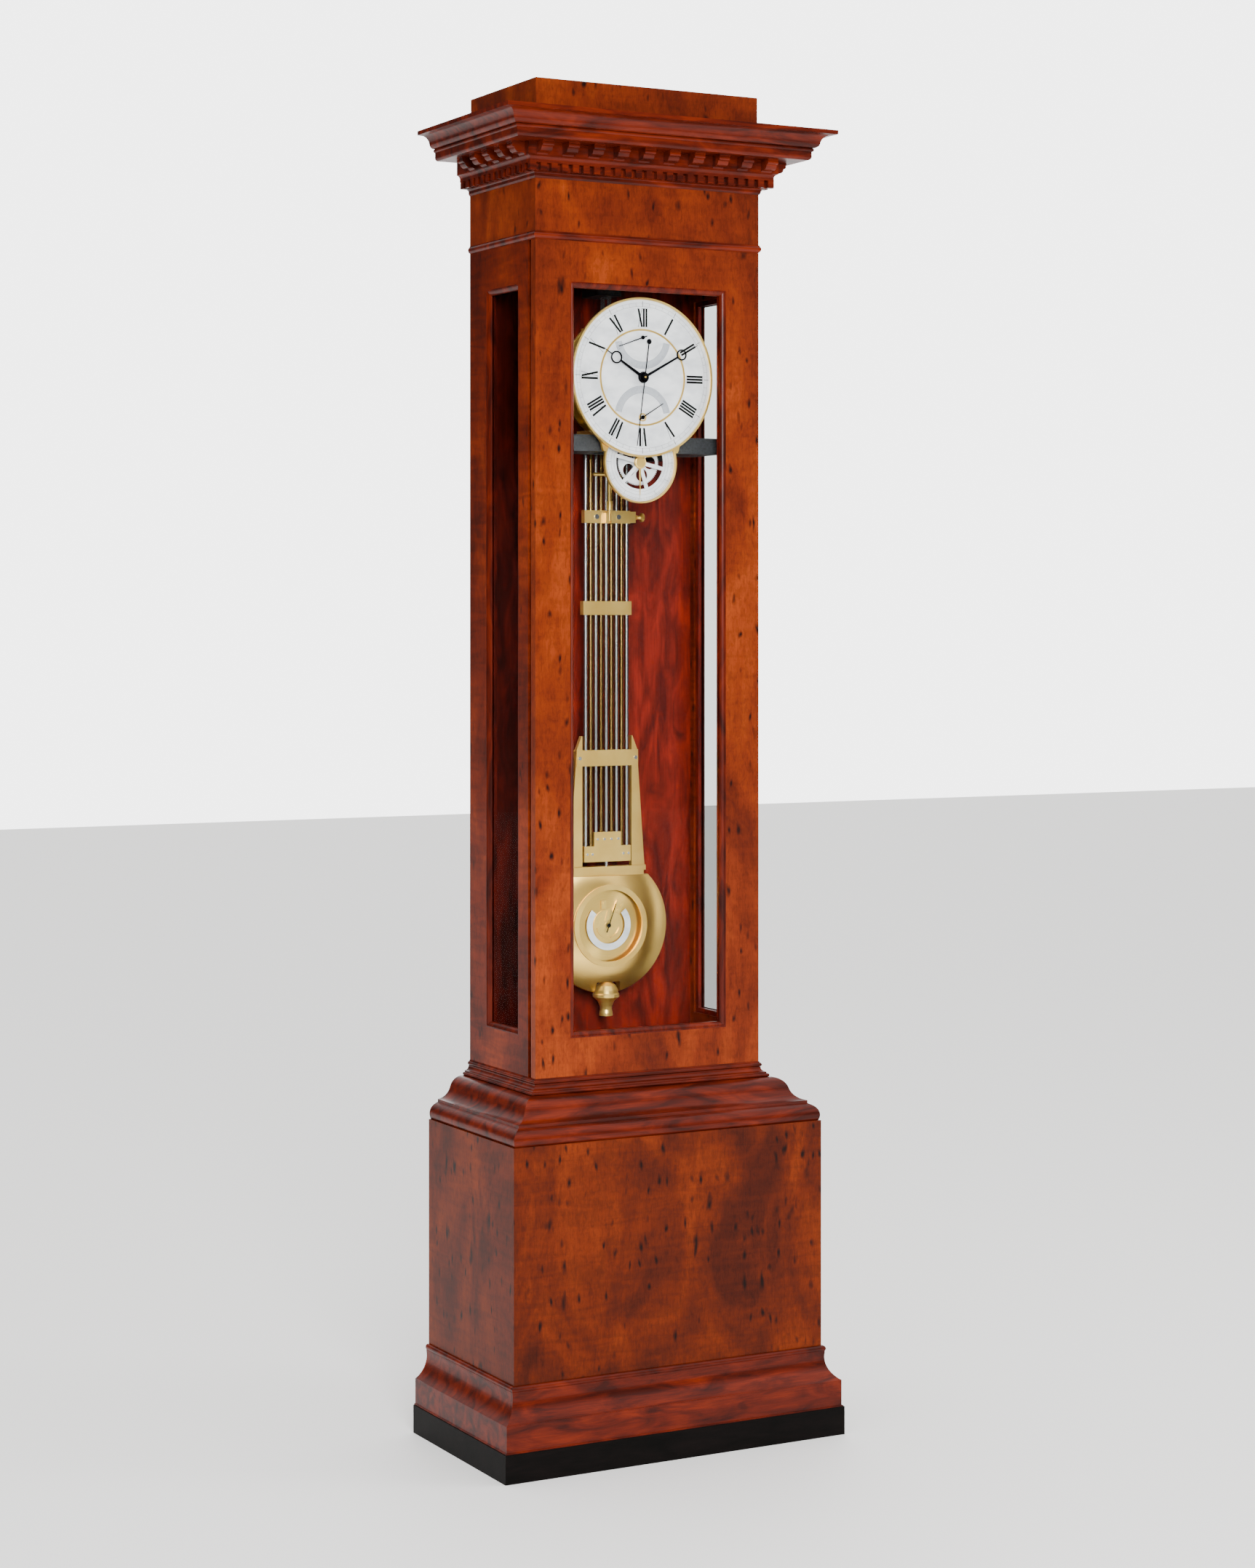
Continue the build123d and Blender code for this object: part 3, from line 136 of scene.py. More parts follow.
# %% [markdown]
# The case is veneered in a figured burr: the log's knotty growth, sliced and glued with its grain upright.
# The leaf shows five things at once: long soft grain, cloudy mottling about 110 mm across, fine specks, a
# cross ripple, and dark pointed eyes about 6 mm wide and 16 mm tall. Each is a noise or a Voronoi pattern
# at its real size, and its scale is the number of features in a metre. Only some cells of the Voronoi
# pattern hold an eye, picked by the cell's own random colour. The polish mirrors less than real shellac,
# because the floor round the clock is so pale that a full mirror would lay a grey veil over the wood.

# %% Burr veneer under French polish
def veneer(name, light, body, shade, eye, shift=(0, 0, 0), ripple=0.35, share=0.5):
    material, tree, shader, output = new_material(name)
    cloud = add(tree, "ShaderNodeTexNoise", {"Vector": mapped(tree, (9, 9, 4.5), shift=shift)},
                Scale=1.0, Detail=4.0, Roughness=0.55, Distortion=0.7)
    grain = add(tree, "ShaderNodeTexNoise", {"Vector": mapped(tree, (420, 420, 30), shift=shift)},
                Scale=1.0, Detail=4.0, Roughness=0.65, Distortion=1.4)
    speck = add(tree, "ShaderNodeTexNoise", {"Vector": mapped(tree, (150, 150, 75), shift=shift)},
                Scale=1.0, Detail=3.0, Roughness=0.7, Distortion=0.8)
    wave = add(tree, "ShaderNodeTexNoise", {"Vector": mapped(tree, (9, 9, 58), shift=shift)},
               Scale=1.0, Detail=3.0, Roughness=0.5, Distortion=1.2)
    colour = ramp(tree, cloud.outputs["Fac"], [(0.34, shade), (0.5, body), (0.66, light)]).outputs["Color"]
    for source, low, high, dark, share_of in ((grain, 0.3, 0.6, 0.55, 0.6), (speck, 0.34, 0.56, 0.5, 0.55),
                                              (wave, 0.36, 0.6, 0.45, ripple)):
        tone = ramp(tree, source.outputs["Fac"], [(low, dark), (high, 1.0)])
        colour = mix(tree, share_of, colour, tone.outputs["Color"], "MULTIPLY")
    bend = add(tree, "ShaderNodeTexNoise", {"Vector": mapped(tree, (40, 40, 16), shift=shift)}, Scale=1.0,
               Detail=2.0)
    for size, edge in ((1.0, 0.17), (1.9, 0.2)):
        place = mapped(tree, (34 * size, 34 * size, 14 * size), shift=shift)
        place = add(tree, "ShaderNodeVectorMath", {0: place, 1: bend.outputs["Color"]}, operation="ADD")
        cells = add(tree, "ShaderNodeTexVoronoi", {"Vector": place.outputs[0]}, Scale=1.0)
        core = ramp(tree, cells.outputs["Distance"], [(edge * 0.35, 1.0), (edge * 1.3, 0.0)])
        pick = add(tree, "ShaderNodeSeparateColor", {"Color": cells.outputs["Color"]})
        chosen = add(tree, "ShaderNodeMath", {0: pick.outputs[0]}, operation="LESS_THAN")
        chosen.inputs[1].default_value = share
        knot = add(tree, "ShaderNodeMath", {0: core.outputs["Color"], 1: chosen.outputs[0]},
                   operation="MULTIPLY")
        colour = mix(tree, knot.outputs[0], colour, eye)
    tree.links.new(colour, shader.inputs["Base Color"])
    bump = add(tree, "ShaderNodeBump", {"Height": grain.outputs["Fac"]}, Strength=0.04, Distance=0.0003)
    tree.links.new(bump.outputs[0], shader.inputs["Normal"])
    shader.inputs["Roughness"].default_value = 0.4
    shader.inputs["Specular IOR Level"].default_value = 0.08
    shader.inputs["Coat Weight"].default_value = 0.05
    shader.inputs["Coat Roughness"].default_value = 0.08
    return material


BURR = veneer("burr_veneer_french_polished", "#8E380E", "#74280A", "#571A07", "#1C0502", ripple=0.25)
# The side leaf is a different leaf, with its figure shifted and more ripple; its darker colours are painted
# shade on the case's sides.
BURR_SIDE_SHADED = veneer("burr_veneer_side_leaf_painted_shade", "#862F0A", "#6A1F06", "#4C1304", "#160301", shift=(3.1, 1.7, 0.4),
                   ripple=0.6)
BURR_BASE = veneer("burr_veneer_base_leaf", "#782B03", "#5E1D02", "#431202", "#130301", shift=(7.3, 2.1, 5.2),
                   ripple=0.4)


# %% [markdown]
# The mouldings are plain mahogany, worked along their length and then polished. Mahogany has fine dark
# pores and a broad ripple across the grain, and it is redder than the veneer. The same recipe with other
# colours serves the backboard inside, the oak carcass behind, and the plinth, which is stained black.

# %% Mahogany
def mahogany(name, light, body, shade, along, coat=0.1, rough=0.36):
    material, tree, shader, output = new_material(name)
    fine, long = 520, 22
    scale = tuple(long if axis == along else fine for axis in "XYZ")
    wide = tuple(9 if axis == along else 38 for axis in "XYZ")
    grain = add(tree, "ShaderNodeTexNoise", {"Vector": mapped(tree, scale)}, Scale=1.0, Detail=4.0,
                Roughness=0.6, Distortion=0.4)
    flame = add(tree, "ShaderNodeTexNoise", {"Vector": mapped(tree, wide)}, Scale=1.0, Detail=4.0,
                Roughness=0.55, Distortion=1.1)
    base = ramp(tree, flame.outputs["Fac"], [(0.34, shade), (0.5, body), (0.7, light)])
    pores = ramp(tree, grain.outputs["Fac"], [(0.32, 0.5), (0.56, 1.0)])
    colour = mix(tree, 0.6, base.outputs["Color"], pores.outputs["Color"], "MULTIPLY")
    tree.links.new(colour, shader.inputs["Base Color"])
    bump = add(tree, "ShaderNodeBump", {"Height": grain.outputs["Fac"]}, Strength=0.08, Distance=0.0004)
    tree.links.new(bump.outputs[0], shader.inputs["Normal"])
    shader.inputs["Roughness"].default_value = rough
    shader.inputs["Specular IOR Level"].default_value = 0.1
    shader.inputs["Coat Weight"].default_value = coat
    shader.inputs["Coat Roughness"].default_value = 0.1
    return material


MAHOGANY = mahogany("mahogany_moulding", "#6C1E05", "#501203", "#330902", "X")
MAHOGANY_UP = mahogany("mahogany_upright", "#6A1D05", "#4E1103", "#300802", "Z")
INSIDE = mahogany("mahogany_backboard", "#70180A", "#561006", "#380803", "Z", coat=0.1, rough=0.45)
CARCASS = mahogany("oak_carcass", "#8A6238", "#74502C", "#553A20", "Z", coat=0.0, rough=0.7)
EBONISED = mahogany("ebonised_plinth", "#0E0908", "#090605", "#050403", "X", coat=0.0, rough=0.5)
EBONISED.node_tree.nodes["Principled BSDF"].inputs["Specular IOR Level"].default_value = 0.06


# %% [markdown]
# The brass is turned and polished, then lacquered. Its tiny turning marks blur a reflection without
# dulling it, so the roughness wanders a little with a fine noise. The dial is brass rubbed with a silver
# salt: a pale metal with a soft grain. The steel rods are drawn and polished along their length. Paint on
# iron, the silver film and the lacquer on brass each hide some of the metal, so these three are less
# metallic than bare steel.

# %% Metals
def metal(name, colour, tint, rough, scale, spread=0.1, bump_size=0.0):
    material, tree, shader, output = new_material(name)
    wear = add(tree, "ShaderNodeTexNoise", {"Vector": mapped(tree, scale)},
               Scale=1.0, Detail=5.0, Roughness=0.6)
    blend = ramp(tree, wear.outputs["Fac"], [(0.35, tint), (0.62, colour)])
    tree.links.new(blend.outputs["Color"], shader.inputs["Base Color"])
    level = add(tree, "ShaderNodeMapRange", {"Value": wear.outputs["Fac"]})
    level.inputs["To Min"].default_value = max(rough - spread, 0.03)
    level.inputs["To Max"].default_value = rough + spread
    tree.links.new(level.outputs[0], shader.inputs["Roughness"])
    shader.inputs["Metallic"].default_value = 1.0
    if bump_size:
        fine = add(tree, "ShaderNodeBump", {"Height": wear.outputs["Fac"]}, Strength=0.25, Distance=bump_size)
        tree.links.new(fine.outputs[0], shader.inputs["Normal"])
    return material


BRASS = metal("polished_lacquered_brass", "#EBC56E", "#DDB25A", 0.3, (14, 14, 14), spread=0.05)
# The rods' brass is given a darker colour than the rest of the brass.
BRASS_DARK = metal("dark_brass_rod", "#8C6F3E", "#6E5428", 0.26, (20, 20, 2), spread=0.04)
SILVERED = metal("silvered_dial_brass", "#DADADC", "#C2C3C7", 0.46, (30, 30, 55), spread=0.07)
STEEL = metal("polished_steel_rod", "#C8CACC", "#B4B7BA", 0.2, (20, 20, 2), spread=0.04)
BLACK_STEEL = metal("blackened_steel_hand", "#1C1C20", "#0C0C10", 0.3, (200, 200, 200))
IRON = metal("painted_cast_iron", "#2B2D30", "#17181A", 0.55, (260, 260, 260), bump_size=0.0006)
for material, share in ((IRON, 0.35), (SILVERED, 0.4), (BRASS, 0.85)):
    material.node_tree.nodes["Principled BSDF"].inputs["Metallic"].default_value = share


# %% [markdown]
# The bob's face is brushed round its centre. Such a face does not shine evenly: each spot mirrors light
# across its own scratches, so bright fans stand out of the centre. The shader does this with anisotropy,
# and the direction of the scratches is the cross product of the clock's depth axis and the way from the
# bob's centre.

# %% Radially brushed bob
def brushed_bob():
    material, tree, shader, output = new_material("brushed_brass_bob")
    place = add(tree, "ShaderNodeTexCoord").outputs["Object"]
    out = add(tree, "ShaderNodeVectorMath", {0: place}, operation="SUBTRACT")
    out.inputs[1].default_value = BOB
    round_it = add(tree, "ShaderNodeVectorMath", {0: out.outputs[0]}, operation="CROSS_PRODUCT")
    round_it.inputs[1].default_value = (0, 1, 0)
    unit = add(tree, "ShaderNodeVectorMath", {0: round_it.outputs[0]}, operation="NORMALIZE")
    tree.links.new(unit.outputs[0], shader.inputs["Tangent"])
    size = add(tree, "ShaderNodeVectorMath", {0: out.outputs[0]}, operation="LENGTH")
    rings = add(tree, "ShaderNodeTexNoise", {"W": size.outputs["Value"]}, noise_dimensions="1D", Scale=1400.0,
                Detail=3.0)
    tone = ramp(tree, rings.outputs["Fac"], [(0.3, "#D9AC54"), (0.7, "#E9C470")])
    tree.links.new(tone.outputs["Color"], shader.inputs["Base Color"])
    shader.inputs["Metallic"].default_value = 0.95
    shader.inputs["Roughness"].default_value = 0.34
    shader.inputs["Anisotropic"].default_value = 0.8
    return material


BRASS_SOFT = brushed_bob()


# %% [markdown]
# Old window glass is nearly colourless. Real glass has an index of about 1.5. These panes have a much
# lower one, so they mirror and bend far less: a true mirror image of the pale floor would hide what stands
# behind them, most of all in the side panes, which are seen at a slant. The side panes are also tinted
# grey as painted shade, which darkens the inside of the case seen through them.
# Lamps pass straight through all the glass: otherwise the movement would stand in its shadow.

# %% Window glass and engraver's ink
def window_glass(name, tint, mirror):
    material, tree, shader, output = new_material(name)
    shader.inputs["Base Color"].default_value = linear(tint)
    shader.inputs["Transmission Weight"].default_value = 1.0
    shader.inputs["Roughness"].default_value = 0.0
    shader.inputs["IOR"].default_value = mirror
    path = add(tree, "ShaderNodeLightPath")
    clear = add(tree, "ShaderNodeBsdfTransparent")
    both = add(tree, "ShaderNodeMixShader", {0: path.outputs["Is Shadow Ray"], 1: shader.outputs[0],
                                            2: clear.outputs[0]})
    tree.links.new(both.outputs[0], output.inputs["Surface"])
    return material


def wax(name, colour, worn):
    """Black sealing wax melted into the engraving, then rubbed level with the plate."""
    material, tree, shader, output = new_material(name)
    grit = add(tree, "ShaderNodeTexNoise", {"Vector": mapped(tree, (900, 900, 900))}, Scale=1.0, Detail=3.0)
    tone = ramp(tree, grit.outputs["Fac"], [(0.4, colour), (0.85, worn)])
    tree.links.new(tone.outputs["Color"], shader.inputs["Base Color"])
    shader.inputs["Roughness"].default_value = 0.6
    shader.inputs["Specular IOR Level"].default_value = 0.08
    return material


GLASS = window_glass("drawn_window_glass", "#FBFDFC", 1.06)
# The side panes' grey tint is painted shade over the inside of the case.
SIDE_PANE_PAINTED_SHADE = window_glass("side_glass_painted_shade", "#A4A6A4", 1.02)
WAX = wax("black_engraving_wax", "#020202", "#0C0C0D")
FINE_WAX = wax("grey_fine_engraving", "#4A4A4E", "#77777B")
MATTED = metal("matted_silver_band", "#B2B4B9", "#9DA0A6", 0.6, (900, 900, 900), spread=0.05,
               bump_size=0.0003)


# %% [markdown]
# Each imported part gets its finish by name: every material lists the parts that are made of it.

# %% Give every part its finish
FINISHES = {
    BURR: "door_stiles door_rails frieze cap_frame",
    BURR_SIDE_SHADED: "side_frame_left side_frame_right",
    BURR_BASE: "base_panels",
    MAHOGANY: "base_moulding waist_moulding neck_bead cornice dentils modillions",
    MAHOGANY_UP: "door_moulding side_mouldings",
    EBONISED: "plinth",
    INSIDE: "back_board side_beads door_beads",
    CARCASS: "case_backs inner_boards",
    GLASS: "door_glass thermometer_glass",
    SIDE_PANE_PAINTED_SHADE: "side_glass",
    BRASS_DARK: "brass_rods",
    BRASS: "dial_bezels thermometer_bezel pendulum_cage crossbars rating_nut beat_knob crutch lock "
           "lock_staple barrel centre_wheel third_wheel escape_wheel hour_wheel motion_wheel movement_plates "
           "movement_pillars dial_feet annual_pointer",
    BRASS_SOFT: "bob",
    SILVERED: "dial_plate annual_ring thermometer_scale",
    STEEL: "steel_rods hinge_pins lock_bolt suspension pendulum_screws",
    BLACK_STEEL: "hour_hand minute_hand seconds_hand calendar_hand reserve_hand thermometer_needle",
    IRON: "iron_bracket",
}
for material, names in FINISHES.items():
    for name in names.split():
        mesh = nodes[name].data
        mesh.materials.clear()
        mesh.materials.append(material)
print("finished parts:", sum(len(names.split()) for names in FINISHES.values()), "of", len(nodes))


# %% [markdown]
# New pieces are plain meshes whose object stays at the origin: their place is in their points, exactly as
# in the imported parts. Helpers build such a mesh from its points and faces; one of them gives it its
# material and the body that carries it.

# %% Helper for a finished piece
def piece(name, mesh, material, body):
    obj = bpy.data.objects.new(name, mesh)
    scene.collection.objects.link(obj)
    mesh.materials.clear()
    mesh.materials.append(material)
    for polygon in mesh.polygons:
        polygon.use_smooth = False
    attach(obj, body)
    return obj


def on_front(mesh, centre, y, turn=0.0):
    """Turn a mesh drawn in X and Z clockwise by turn degrees, then set it at a centre and depth."""
    mesh.transform(Matrix.Translation((centre.x, y, centre.z)) @ Matrix.Rotation(math.radians(turn), 4, "Y"))


def slab(bm, corners, thick):
    """A flat piece with a wall, from (x, z) corners; it stands out of the dial by its thickness."""
    back = [bm.verts.new((x, 0, z)) for x, z in corners]
    front = [bm.verts.new((x, -thick, z)) for x, z in corners]
    bm.faces.new(front)
    bm.faces.new(back[::-1])
    for i in range(len(corners)):
        j = (i + 1) % len(corners)
        bm.faces.new((front[i], back[i], back[j], front[j]))


def mesh_of(name, bm):
    bmesh.ops.recalc_face_normals(bm, faces=bm.faces)
    mesh = bpy.data.meshes.new(name)
    bm.to_mesh(mesh)
    bm.free()
    return mesh


# %% [markdown]
# The hour numerals are Roman, cut with a broad and a fine stroke, and each stands with its foot towards
# the centre. A numeral is only a list of strokes, so it is written as data: where its foot and its head
# lie across the numeral, and whether the stroke is broad. The dial's Ⅳ is the clockmaker's IIII.

# %% Draw the hour numerals
BROAD, FINE, INK = 3.3 * MM, 0.7 * MM, 0.15 * MM
FOOT, HEAD = 80.0 * MM, 109.0 * MM
PITCH = 4.6 * MM
SHAPES = {
    "I": (1.0, [(0.5, 0.5, True)]),
    "V": (1.9, [(0.95, 0.15, True), (0.95, 1.75, False)]),
    "X": (1.9, [(1.65, 0.25, True), (0.25, 1.65, False)]),
}
HOURS = ["XII", "I", "II", "III", "IIII", "V", "VI", "VII", "VIII", "IX", "X", "XI"]


def numeral(bm, text, turn):
    total = sum(SHAPES[letter][0] for letter in text)
    start = -total / 2
    turned = Matrix.Rotation(math.radians(turn), 4, "Y")
    for letter in text:
        width, strokes = SHAPES[letter]
        for foot, head, broad in strokes:
            half = (BROAD if broad else FINE) / 2
            a, b = (start + foot) * PITCH, (start + head) * PITCH
            corners = [(a - half, FOOT), (a + half, FOOT), (b + half, HEAD), (b - half, HEAD)]
            points = [turned @ Vector((x, 0, z)) for x, z in corners]
            slab(bm, [(p.x, p.z) for p in points], INK)
            if not broad or letter == "I":
                for x, z in ((a, FOOT), (b, HEAD)):
                    serif = [(x - half - 0.7 * MM, z), (x + half + 0.7 * MM, z),
                             (x + half + 0.7 * MM, z + 0.35 * MM), (x - half - 0.7 * MM, z + 0.35 * MM)]
                    serif = [turned @ Vector((sx, 0, sz)) for sx, sz in serif]
                    slab(bm, [(p.x, p.z) for p in serif], INK * 1.3)
        start += width


bm = bmesh.new()
for hour, text in enumerate(HOURS):
    numeral(bm, text, 30 * hour)
numerals = mesh_of("hour_numerals", bm)
on_front(numerals, DIAL, DIAL_FRONT)
piece("hour_numerals", numerals, WAX, "case")
print("numerals:", len(HOURS), "strokes:", len(numerals.polygons) // 6)


# %% [markdown]
# Everything else engraved on the dial repeats round a circle: the minute track, the two small scales and
# the year ring. Geometry Nodes suit this: the tree makes a row of points, bends the row into an arc,
# stands one small bar on each point, and joins the bars into a mesh. Its sizes are named inputs.

# %% Geometry Nodes tree: bars along an arc
def arc_tree():
    tree = bpy.data.node_groups.new("bars_on_arc", "GeometryNodeTree")
    face = tree.interface
    for name, kind, default in (("Count", "NodeSocketInt", 60), ("Radius", "NodeSocketFloat", 0.1),
                                ("Start", "NodeSocketFloat", 0.0), ("Step", "NodeSocketFloat", 0.1),
                                ("Length", "NodeSocketFloat", 0.005), ("Width", "NodeSocketFloat", 0.0005),
                                ("Thick", "NodeSocketFloat", 0.0001), ("Finish", "NodeSocketMaterial", None)):
        socket = face.new_socket(name=name, in_out="INPUT", socket_type=kind)
        if default is not None:
            socket.default_value = default
    face.new_socket(name="Geometry", in_out="OUTPUT", socket_type="NodeSocketGeometry")
    given = tree.nodes.new("NodeGroupInput").outputs
    row = add(tree, "GeometryNodeMeshLine", {"Count": given["Count"]})
    index = add(tree, "GeometryNodeInputIndex")
    turn = add(tree, "ShaderNodeMath", {0: index.outputs[0], 1: given["Step"], 2: given["Start"]},
               operation="MULTIPLY_ADD")
    sine = add(tree, "ShaderNodeMath", {0: turn.outputs[0]}, operation="SINE")
    cosine = add(tree, "ShaderNodeMath", {0: turn.outputs[0]}, operation="COSINE")
    across = add(tree, "ShaderNodeMath", {0: sine.outputs[0], 1: given["Radius"]}, operation="MULTIPLY")
    up = add(tree, "ShaderNodeMath", {0: cosine.outputs[0], 1: given["Radius"]}, operation="MULTIPLY")
    place = add(tree, "ShaderNodeCombineXYZ", {"X": across.outputs[0], "Z": up.outputs[0]})
    bent = add(tree, "GeometryNodeSetPosition", {"Geometry": row.outputs[0], "Position": place.outputs[0]})
    size = add(tree, "ShaderNodeCombineXYZ", {"X": given["Width"], "Y": given["Thick"], "Z": given["Length"]})
    bar = add(tree, "GeometryNodeMeshCube", {"Size": size.outputs[0]})
    lean = add(tree, "ShaderNodeCombineXYZ", {"Y": turn.outputs[0]})
    bars = add(tree, "GeometryNodeInstanceOnPoints", {"Points": bent.outputs[0], "Instance": bar.outputs[0],
                                                      "Rotation": lean.outputs[0]})
    real = add(tree, "GeometryNodeRealizeInstances", {"Geometry": bars.outputs[0]})
    done = add(tree, "GeometryNodeSetMaterial", {"Geometry": real.outputs[0], "Material": given["Finish"]})
    tree.links.new(done.outputs[0], tree.nodes.new("NodeGroupOutput").inputs[0])
    return tree


ARC = arc_tree()


def bars_mesh(name, material, **sizes):
    """Run the tree once and keep its result as a plain mesh."""
    holder = bpy.data.objects.new(name, bpy.data.meshes.new(name))
    scene.collection.objects.link(holder)
    modifier = holder.modifiers.new("bars", "NODES")
    modifier.node_group = ARC
    for item in ARC.interface.items_tree:
        if item.in_out == "INPUT":
            modifier[item.identifier] = material if item.name == "Finish" else sizes[item.name]
    graph = bpy.context.evaluated_depsgraph_get()
    result = bpy.data.meshes.new_from_object(holder.evaluated_get(graph))
    bpy.data.objects.remove(holder)
    return result


def scale_marks(name, centre, y, radius, start, sweep, count, length, width, material=FINE_WAX,
                body="case"):
    """Marks at even steps over a sweep, in degrees clockwise from the top."""
    step = math.radians(sweep) / (count if abs(sweep) == 360 else count - 1)
    mesh = bars_mesh(name, material, Count=count, Radius=radius * MM, Start=math.radians(start), Step=step,
                     Length=length * MM, Width=width * MM, Thick=2 * INK)
    on_front(mesh, centre, y)
    return piece(name, mesh, material, body)


def ring_line(name, centre, y, radius, start, sweep, width, thick=0.1, material=FINE_WAX, body="case"):
    """A thin engraved line or a flat band along an arc."""
    bm = bmesh.new()
    steps = max(int(abs(sweep) / 3), 8)
    inner, outer = (radius - width / 2) * MM, (radius + width / 2) * MM
    for i in range(steps):
        a, b = (math.radians(start + sweep * (i + k) / steps) for k in (0, 1))
        corners = [(inner * math.sin(a), inner * math.cos(a)), (outer * math.sin(a), outer * math.cos(a)),
                   (outer * math.sin(b), outer * math.cos(b)), (inner * math.sin(b), inner * math.cos(b))]
        back = [bm.verts.new((x, 0, z)) for x, z in corners]
        front = [bm.verts.new((x, -thick * MM, z)) for x, z in corners]
        bm.faces.new(front)
        bm.faces.new(back[::-1])
        bm.faces.new((front[0], back[0], back[3], front[3]))
        bm.faces.new((front[1], front[2], back[2], back[1]))
        if abs(sweep) < 360 and i == 0:
            bm.faces.new((front[0], front[1], back[1], back[0]))
        if abs(sweep) < 360 and i == steps - 1:
            bm.faces.new((front[2], front[3], back[3], back[2]))
    bmesh.ops.remove_doubles(bm, verts=bm.verts, dist=1e-7)
    mesh = mesh_of(name, bm)
    on_front(mesh, centre, y)
    return piece(name, mesh, material, body)


# %% [markdown]
# The minute track is a ladder of short bars between two thin circles, with a longer and broader bar at
# every fifth minute. Radii, lengths and widths are in millimetres.

# %% Engrave the minute track
scale_marks("minute_marks", DIAL, DIAL_FRONT, 115.0, 0, 360, 60, 5.6, 0.32)
scale_marks("five_minute_marks", DIAL, DIAL_FRONT, 116.2, 0, 360, 12, 8.6, 0.75, WAX)
for number, radius in enumerate((112.2, 117.8)):
    ring_line(f"minute_line_{number}", DIAL, DIAL_FRONT, radius, 0, 360, 0.3)


# %% [markdown]
# Two fan-shaped scales lie inside the brass ring. On the real dial each is a band matted with a fine
# punch, so that it looks greyer than the plate, with tiny engraved divisions. The upper one hangs below
# its hand and the lower one arches over its hand.

# %% Matted bands and their divisions
SUB = 63.2 * MM
BAND_R, BAND_WIDTH, BAND_SWEEP = 44.2, 11.6, 160
EDGE_R, INNER_R = 50.0, 38.6
MARGIN = 2
UPPER = Vector((DIAL.x, 0, DIAL.z + SUB))
LOWER = Vector((DIAL.x, 0, DIAL.z - SUB))
for label, centre, start in (("upper", UPPER, 100), ("lower", LOWER, -80)):
    first, marked = start + MARGIN, BAND_SWEEP - 2 * MARGIN
    ring_line(f"{label}_band", centre, DIAL_FRONT, BAND_R, start, BAND_SWEEP, BAND_WIDTH, 0.06, MATTED)
    scale_marks(f"{label}_fine_marks", centre, DIAL_FRONT, EDGE_R - 3.0, first, marked, 61, 2.2, 0.22)
    scale_marks(f"{label}_long_marks", centre, DIAL_FRONT, EDGE_R - 4.2, first, marked, 13, 4.6, 0.3)
    ring_line(f"{label}_outer_line", centre, DIAL_FRONT, EDGE_R - 0.4, start, BAND_SWEEP, 0.28)
    ring_line(f"{label}_inner_line", centre, DIAL_FRONT, INNER_R, start, BAND_SWEEP, 0.28)


# %% [markdown]
# The year ring turns once a year past its fixed pointer. Its marks ride on the ring's own body, so they
# turn with it: long marks for the months and short ones for every fifth day.

# %% Year ring divisions
for name, radius, count, length, width in (("year_day_marks", 58.6, 73, 2.4, 0.24),
                                           ("year_month_marks", 55.8, 12, 8.0, 0.4)):
    scale_marks(name, ANNUAL, ANNUAL_FRONT, radius, 0, 360, count, length, width, body="annual")
for number, radius in enumerate((59.9, 57.2, 51.6, 46.4)):
    ring_line(f"year_line_{number}", ANNUAL, ANNUAL_FRONT, radius, 0, 360, 0.26, body="annual")


# %% [markdown]
# The clock stands on a plain pale floor. A large lamp at the left front and a tall narrow one at the right
# light it softly. The world round it has three levels of light: a bright ceiling, a brighter backdrop
# behind the clock as the camera sees it, and a dark room everywhere else, so that polish and glass do not
# mirror a white room. A long lens from the left of centre and a level camera keep the case's uprights
# parallel; the lens is shifted down instead of tilted, as with a view camera.

# %% Floor, light and camera
ROOM, CEILING, BACKDROP = 0.1, 2.0, 4.5
BACKDROP_WAY = (0.475, 0.88, 0.0)
FLOOR = 14.0
LENS, LENS_SHIFT = 68.905, -0.1046
EYE_LEFT, EYE_OUT, EYE_HEIGHT, EYE_TURN = -2.2803, -4.3871, 1.2997, -28.366


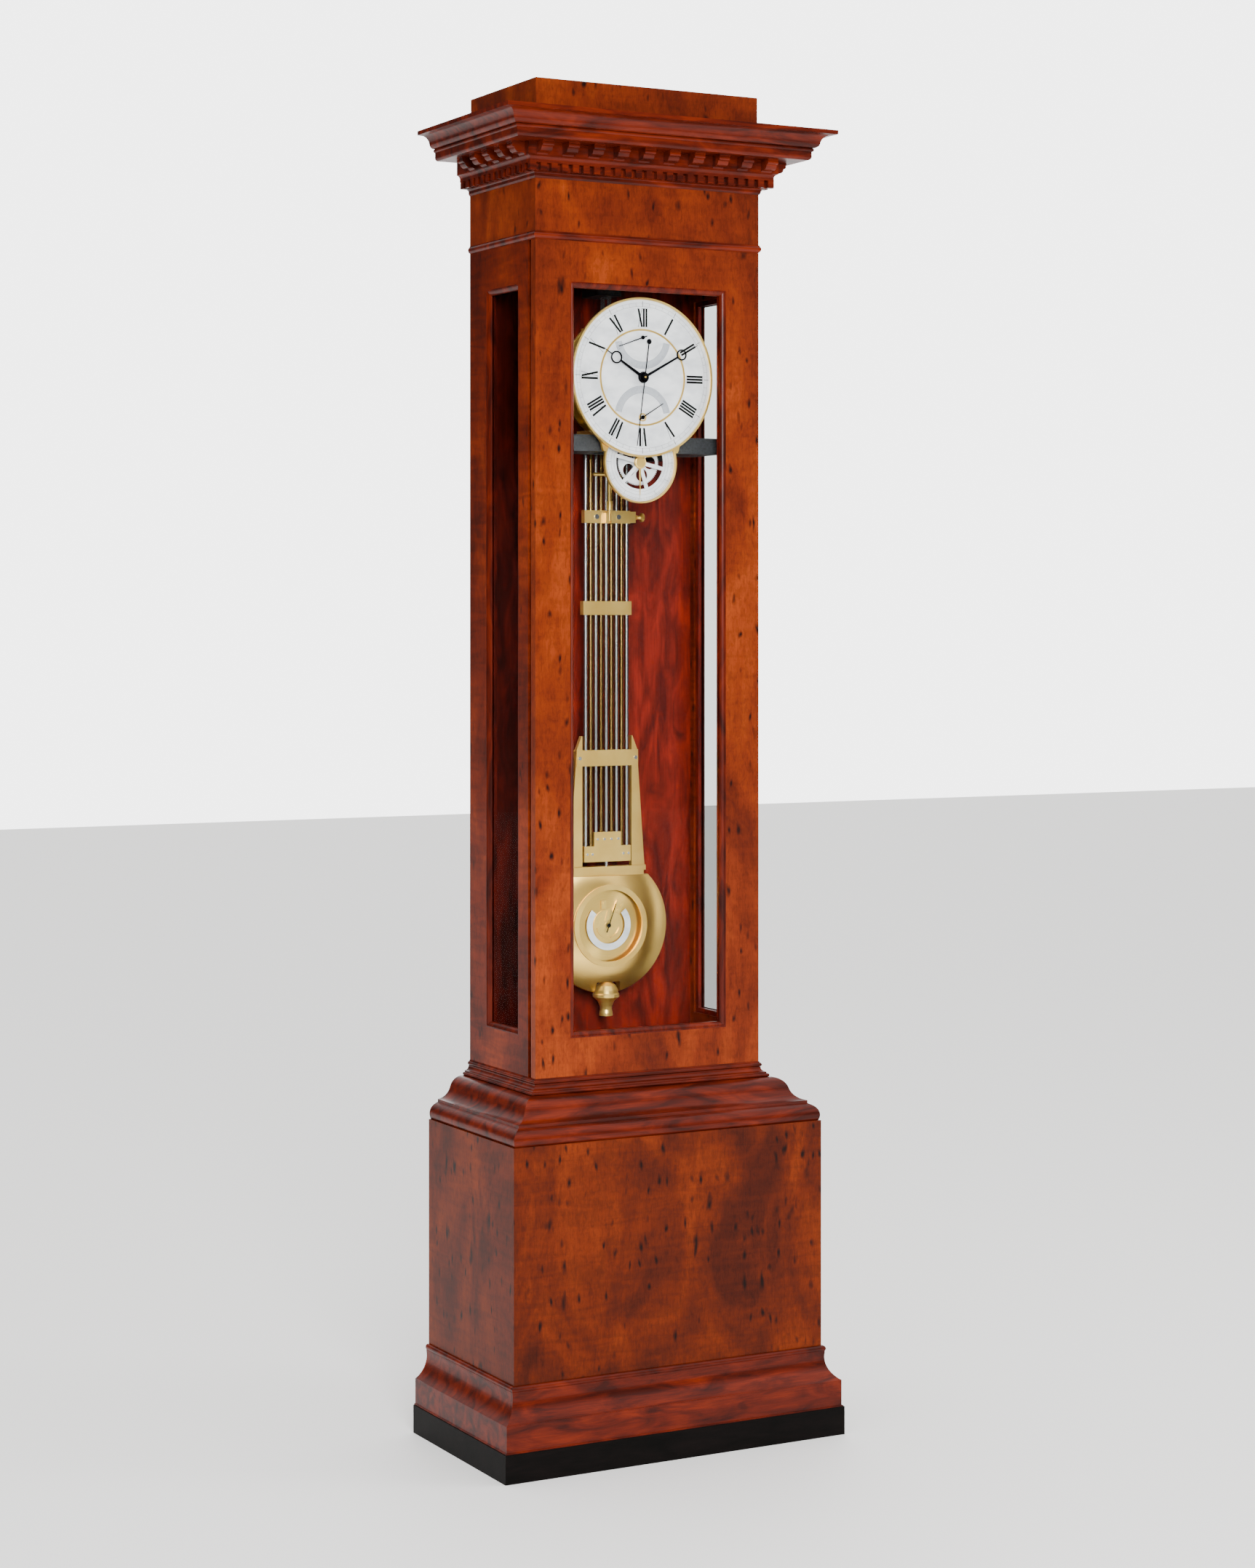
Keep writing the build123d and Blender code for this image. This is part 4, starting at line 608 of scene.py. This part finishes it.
def light(name, place, target, power, size):
    data = bpy.data.lights.new(name, "AREA")
    data.energy = power
    data.shape = "RECTANGLE"
    data.size, data.size_y = size
    obj = bpy.data.objects.new(name, data)
    obj.location = place
    obj.rotation_euler = (Vector(target) - Vector(place)).to_track_quat("-Z", "Y").to_euler()
    scene.collection.objects.link(obj)


def grey(level):
    return (level, level, level, 1)


floor_mesh = bpy.data.meshes.new("floor")
floor_mesh.from_pydata([(-FLOOR, -FLOOR, 0), (FLOOR, -FLOOR, 0), (FLOOR, FLOOR, 0), (-FLOOR, FLOOR, 0)], [],
                       [(0, 1, 2, 3)])
floor = bpy.data.objects.new("floor", floor_mesh)
scene.collection.objects.link(floor)
floor_material, _, floor_shader, _ = new_material("pale_studio_floor")
floor_shader.inputs["Base Color"].default_value = linear("#F4F3F1")
floor_shader.inputs["Roughness"].default_value = 0.7
floor_mesh.materials.append(floor_material)

world = bpy.data.worlds.new("studio")
scene.world = world
world.use_nodes = True
sky = world.node_tree
way = add(sky, "ShaderNodeTexCoord").outputs["Generated"]
height = add(sky, "ShaderNodeSeparateXYZ", {"Vector": way})
ceiling = ramp(sky, height.outputs["Z"], [(0.3, 0.0), (0.62, 1.0)])
wall = add(sky, "ShaderNodeVectorMath", {0: way}, operation="DOT_PRODUCT")
wall.inputs[1].default_value = BACKDROP_WAY
sweep = ramp(sky, wall.outputs["Value"], [(0.88, 0.0), (0.93, 1.0)])
lit = mix(sky, ceiling.outputs["Color"], grey(ROOM), grey(CEILING))
lit = mix(sky, sweep.outputs["Color"], lit, grey(BACKDROP))
sky.links.new(lit, sky.nodes["Background"].inputs["Color"])
aim = (0, 0, 1.1)
light("key_softbox", (-1.5, -4.4, 2.5), aim, 260, (1.4, 1.8))
light("right_softbox", (3.8, -2.4, 2.0), aim, 90, (1.2, 2.6))

camera_data = bpy.data.cameras.new("camera")
camera_data.sensor_width = 36
camera_data.lens = LENS
camera_data.shift_y = LENS_SHIFT
camera_data.clip_end = 60
camera = bpy.data.objects.new("camera", camera_data)
camera.location = (EYE_LEFT, CASE_HIGH.y + EYE_OUT, EYE_HEIGHT)
camera.rotation_euler = (math.radians(90), 0, math.radians(EYE_TURN))
scene.collection.objects.link(camera)
scene.camera = camera
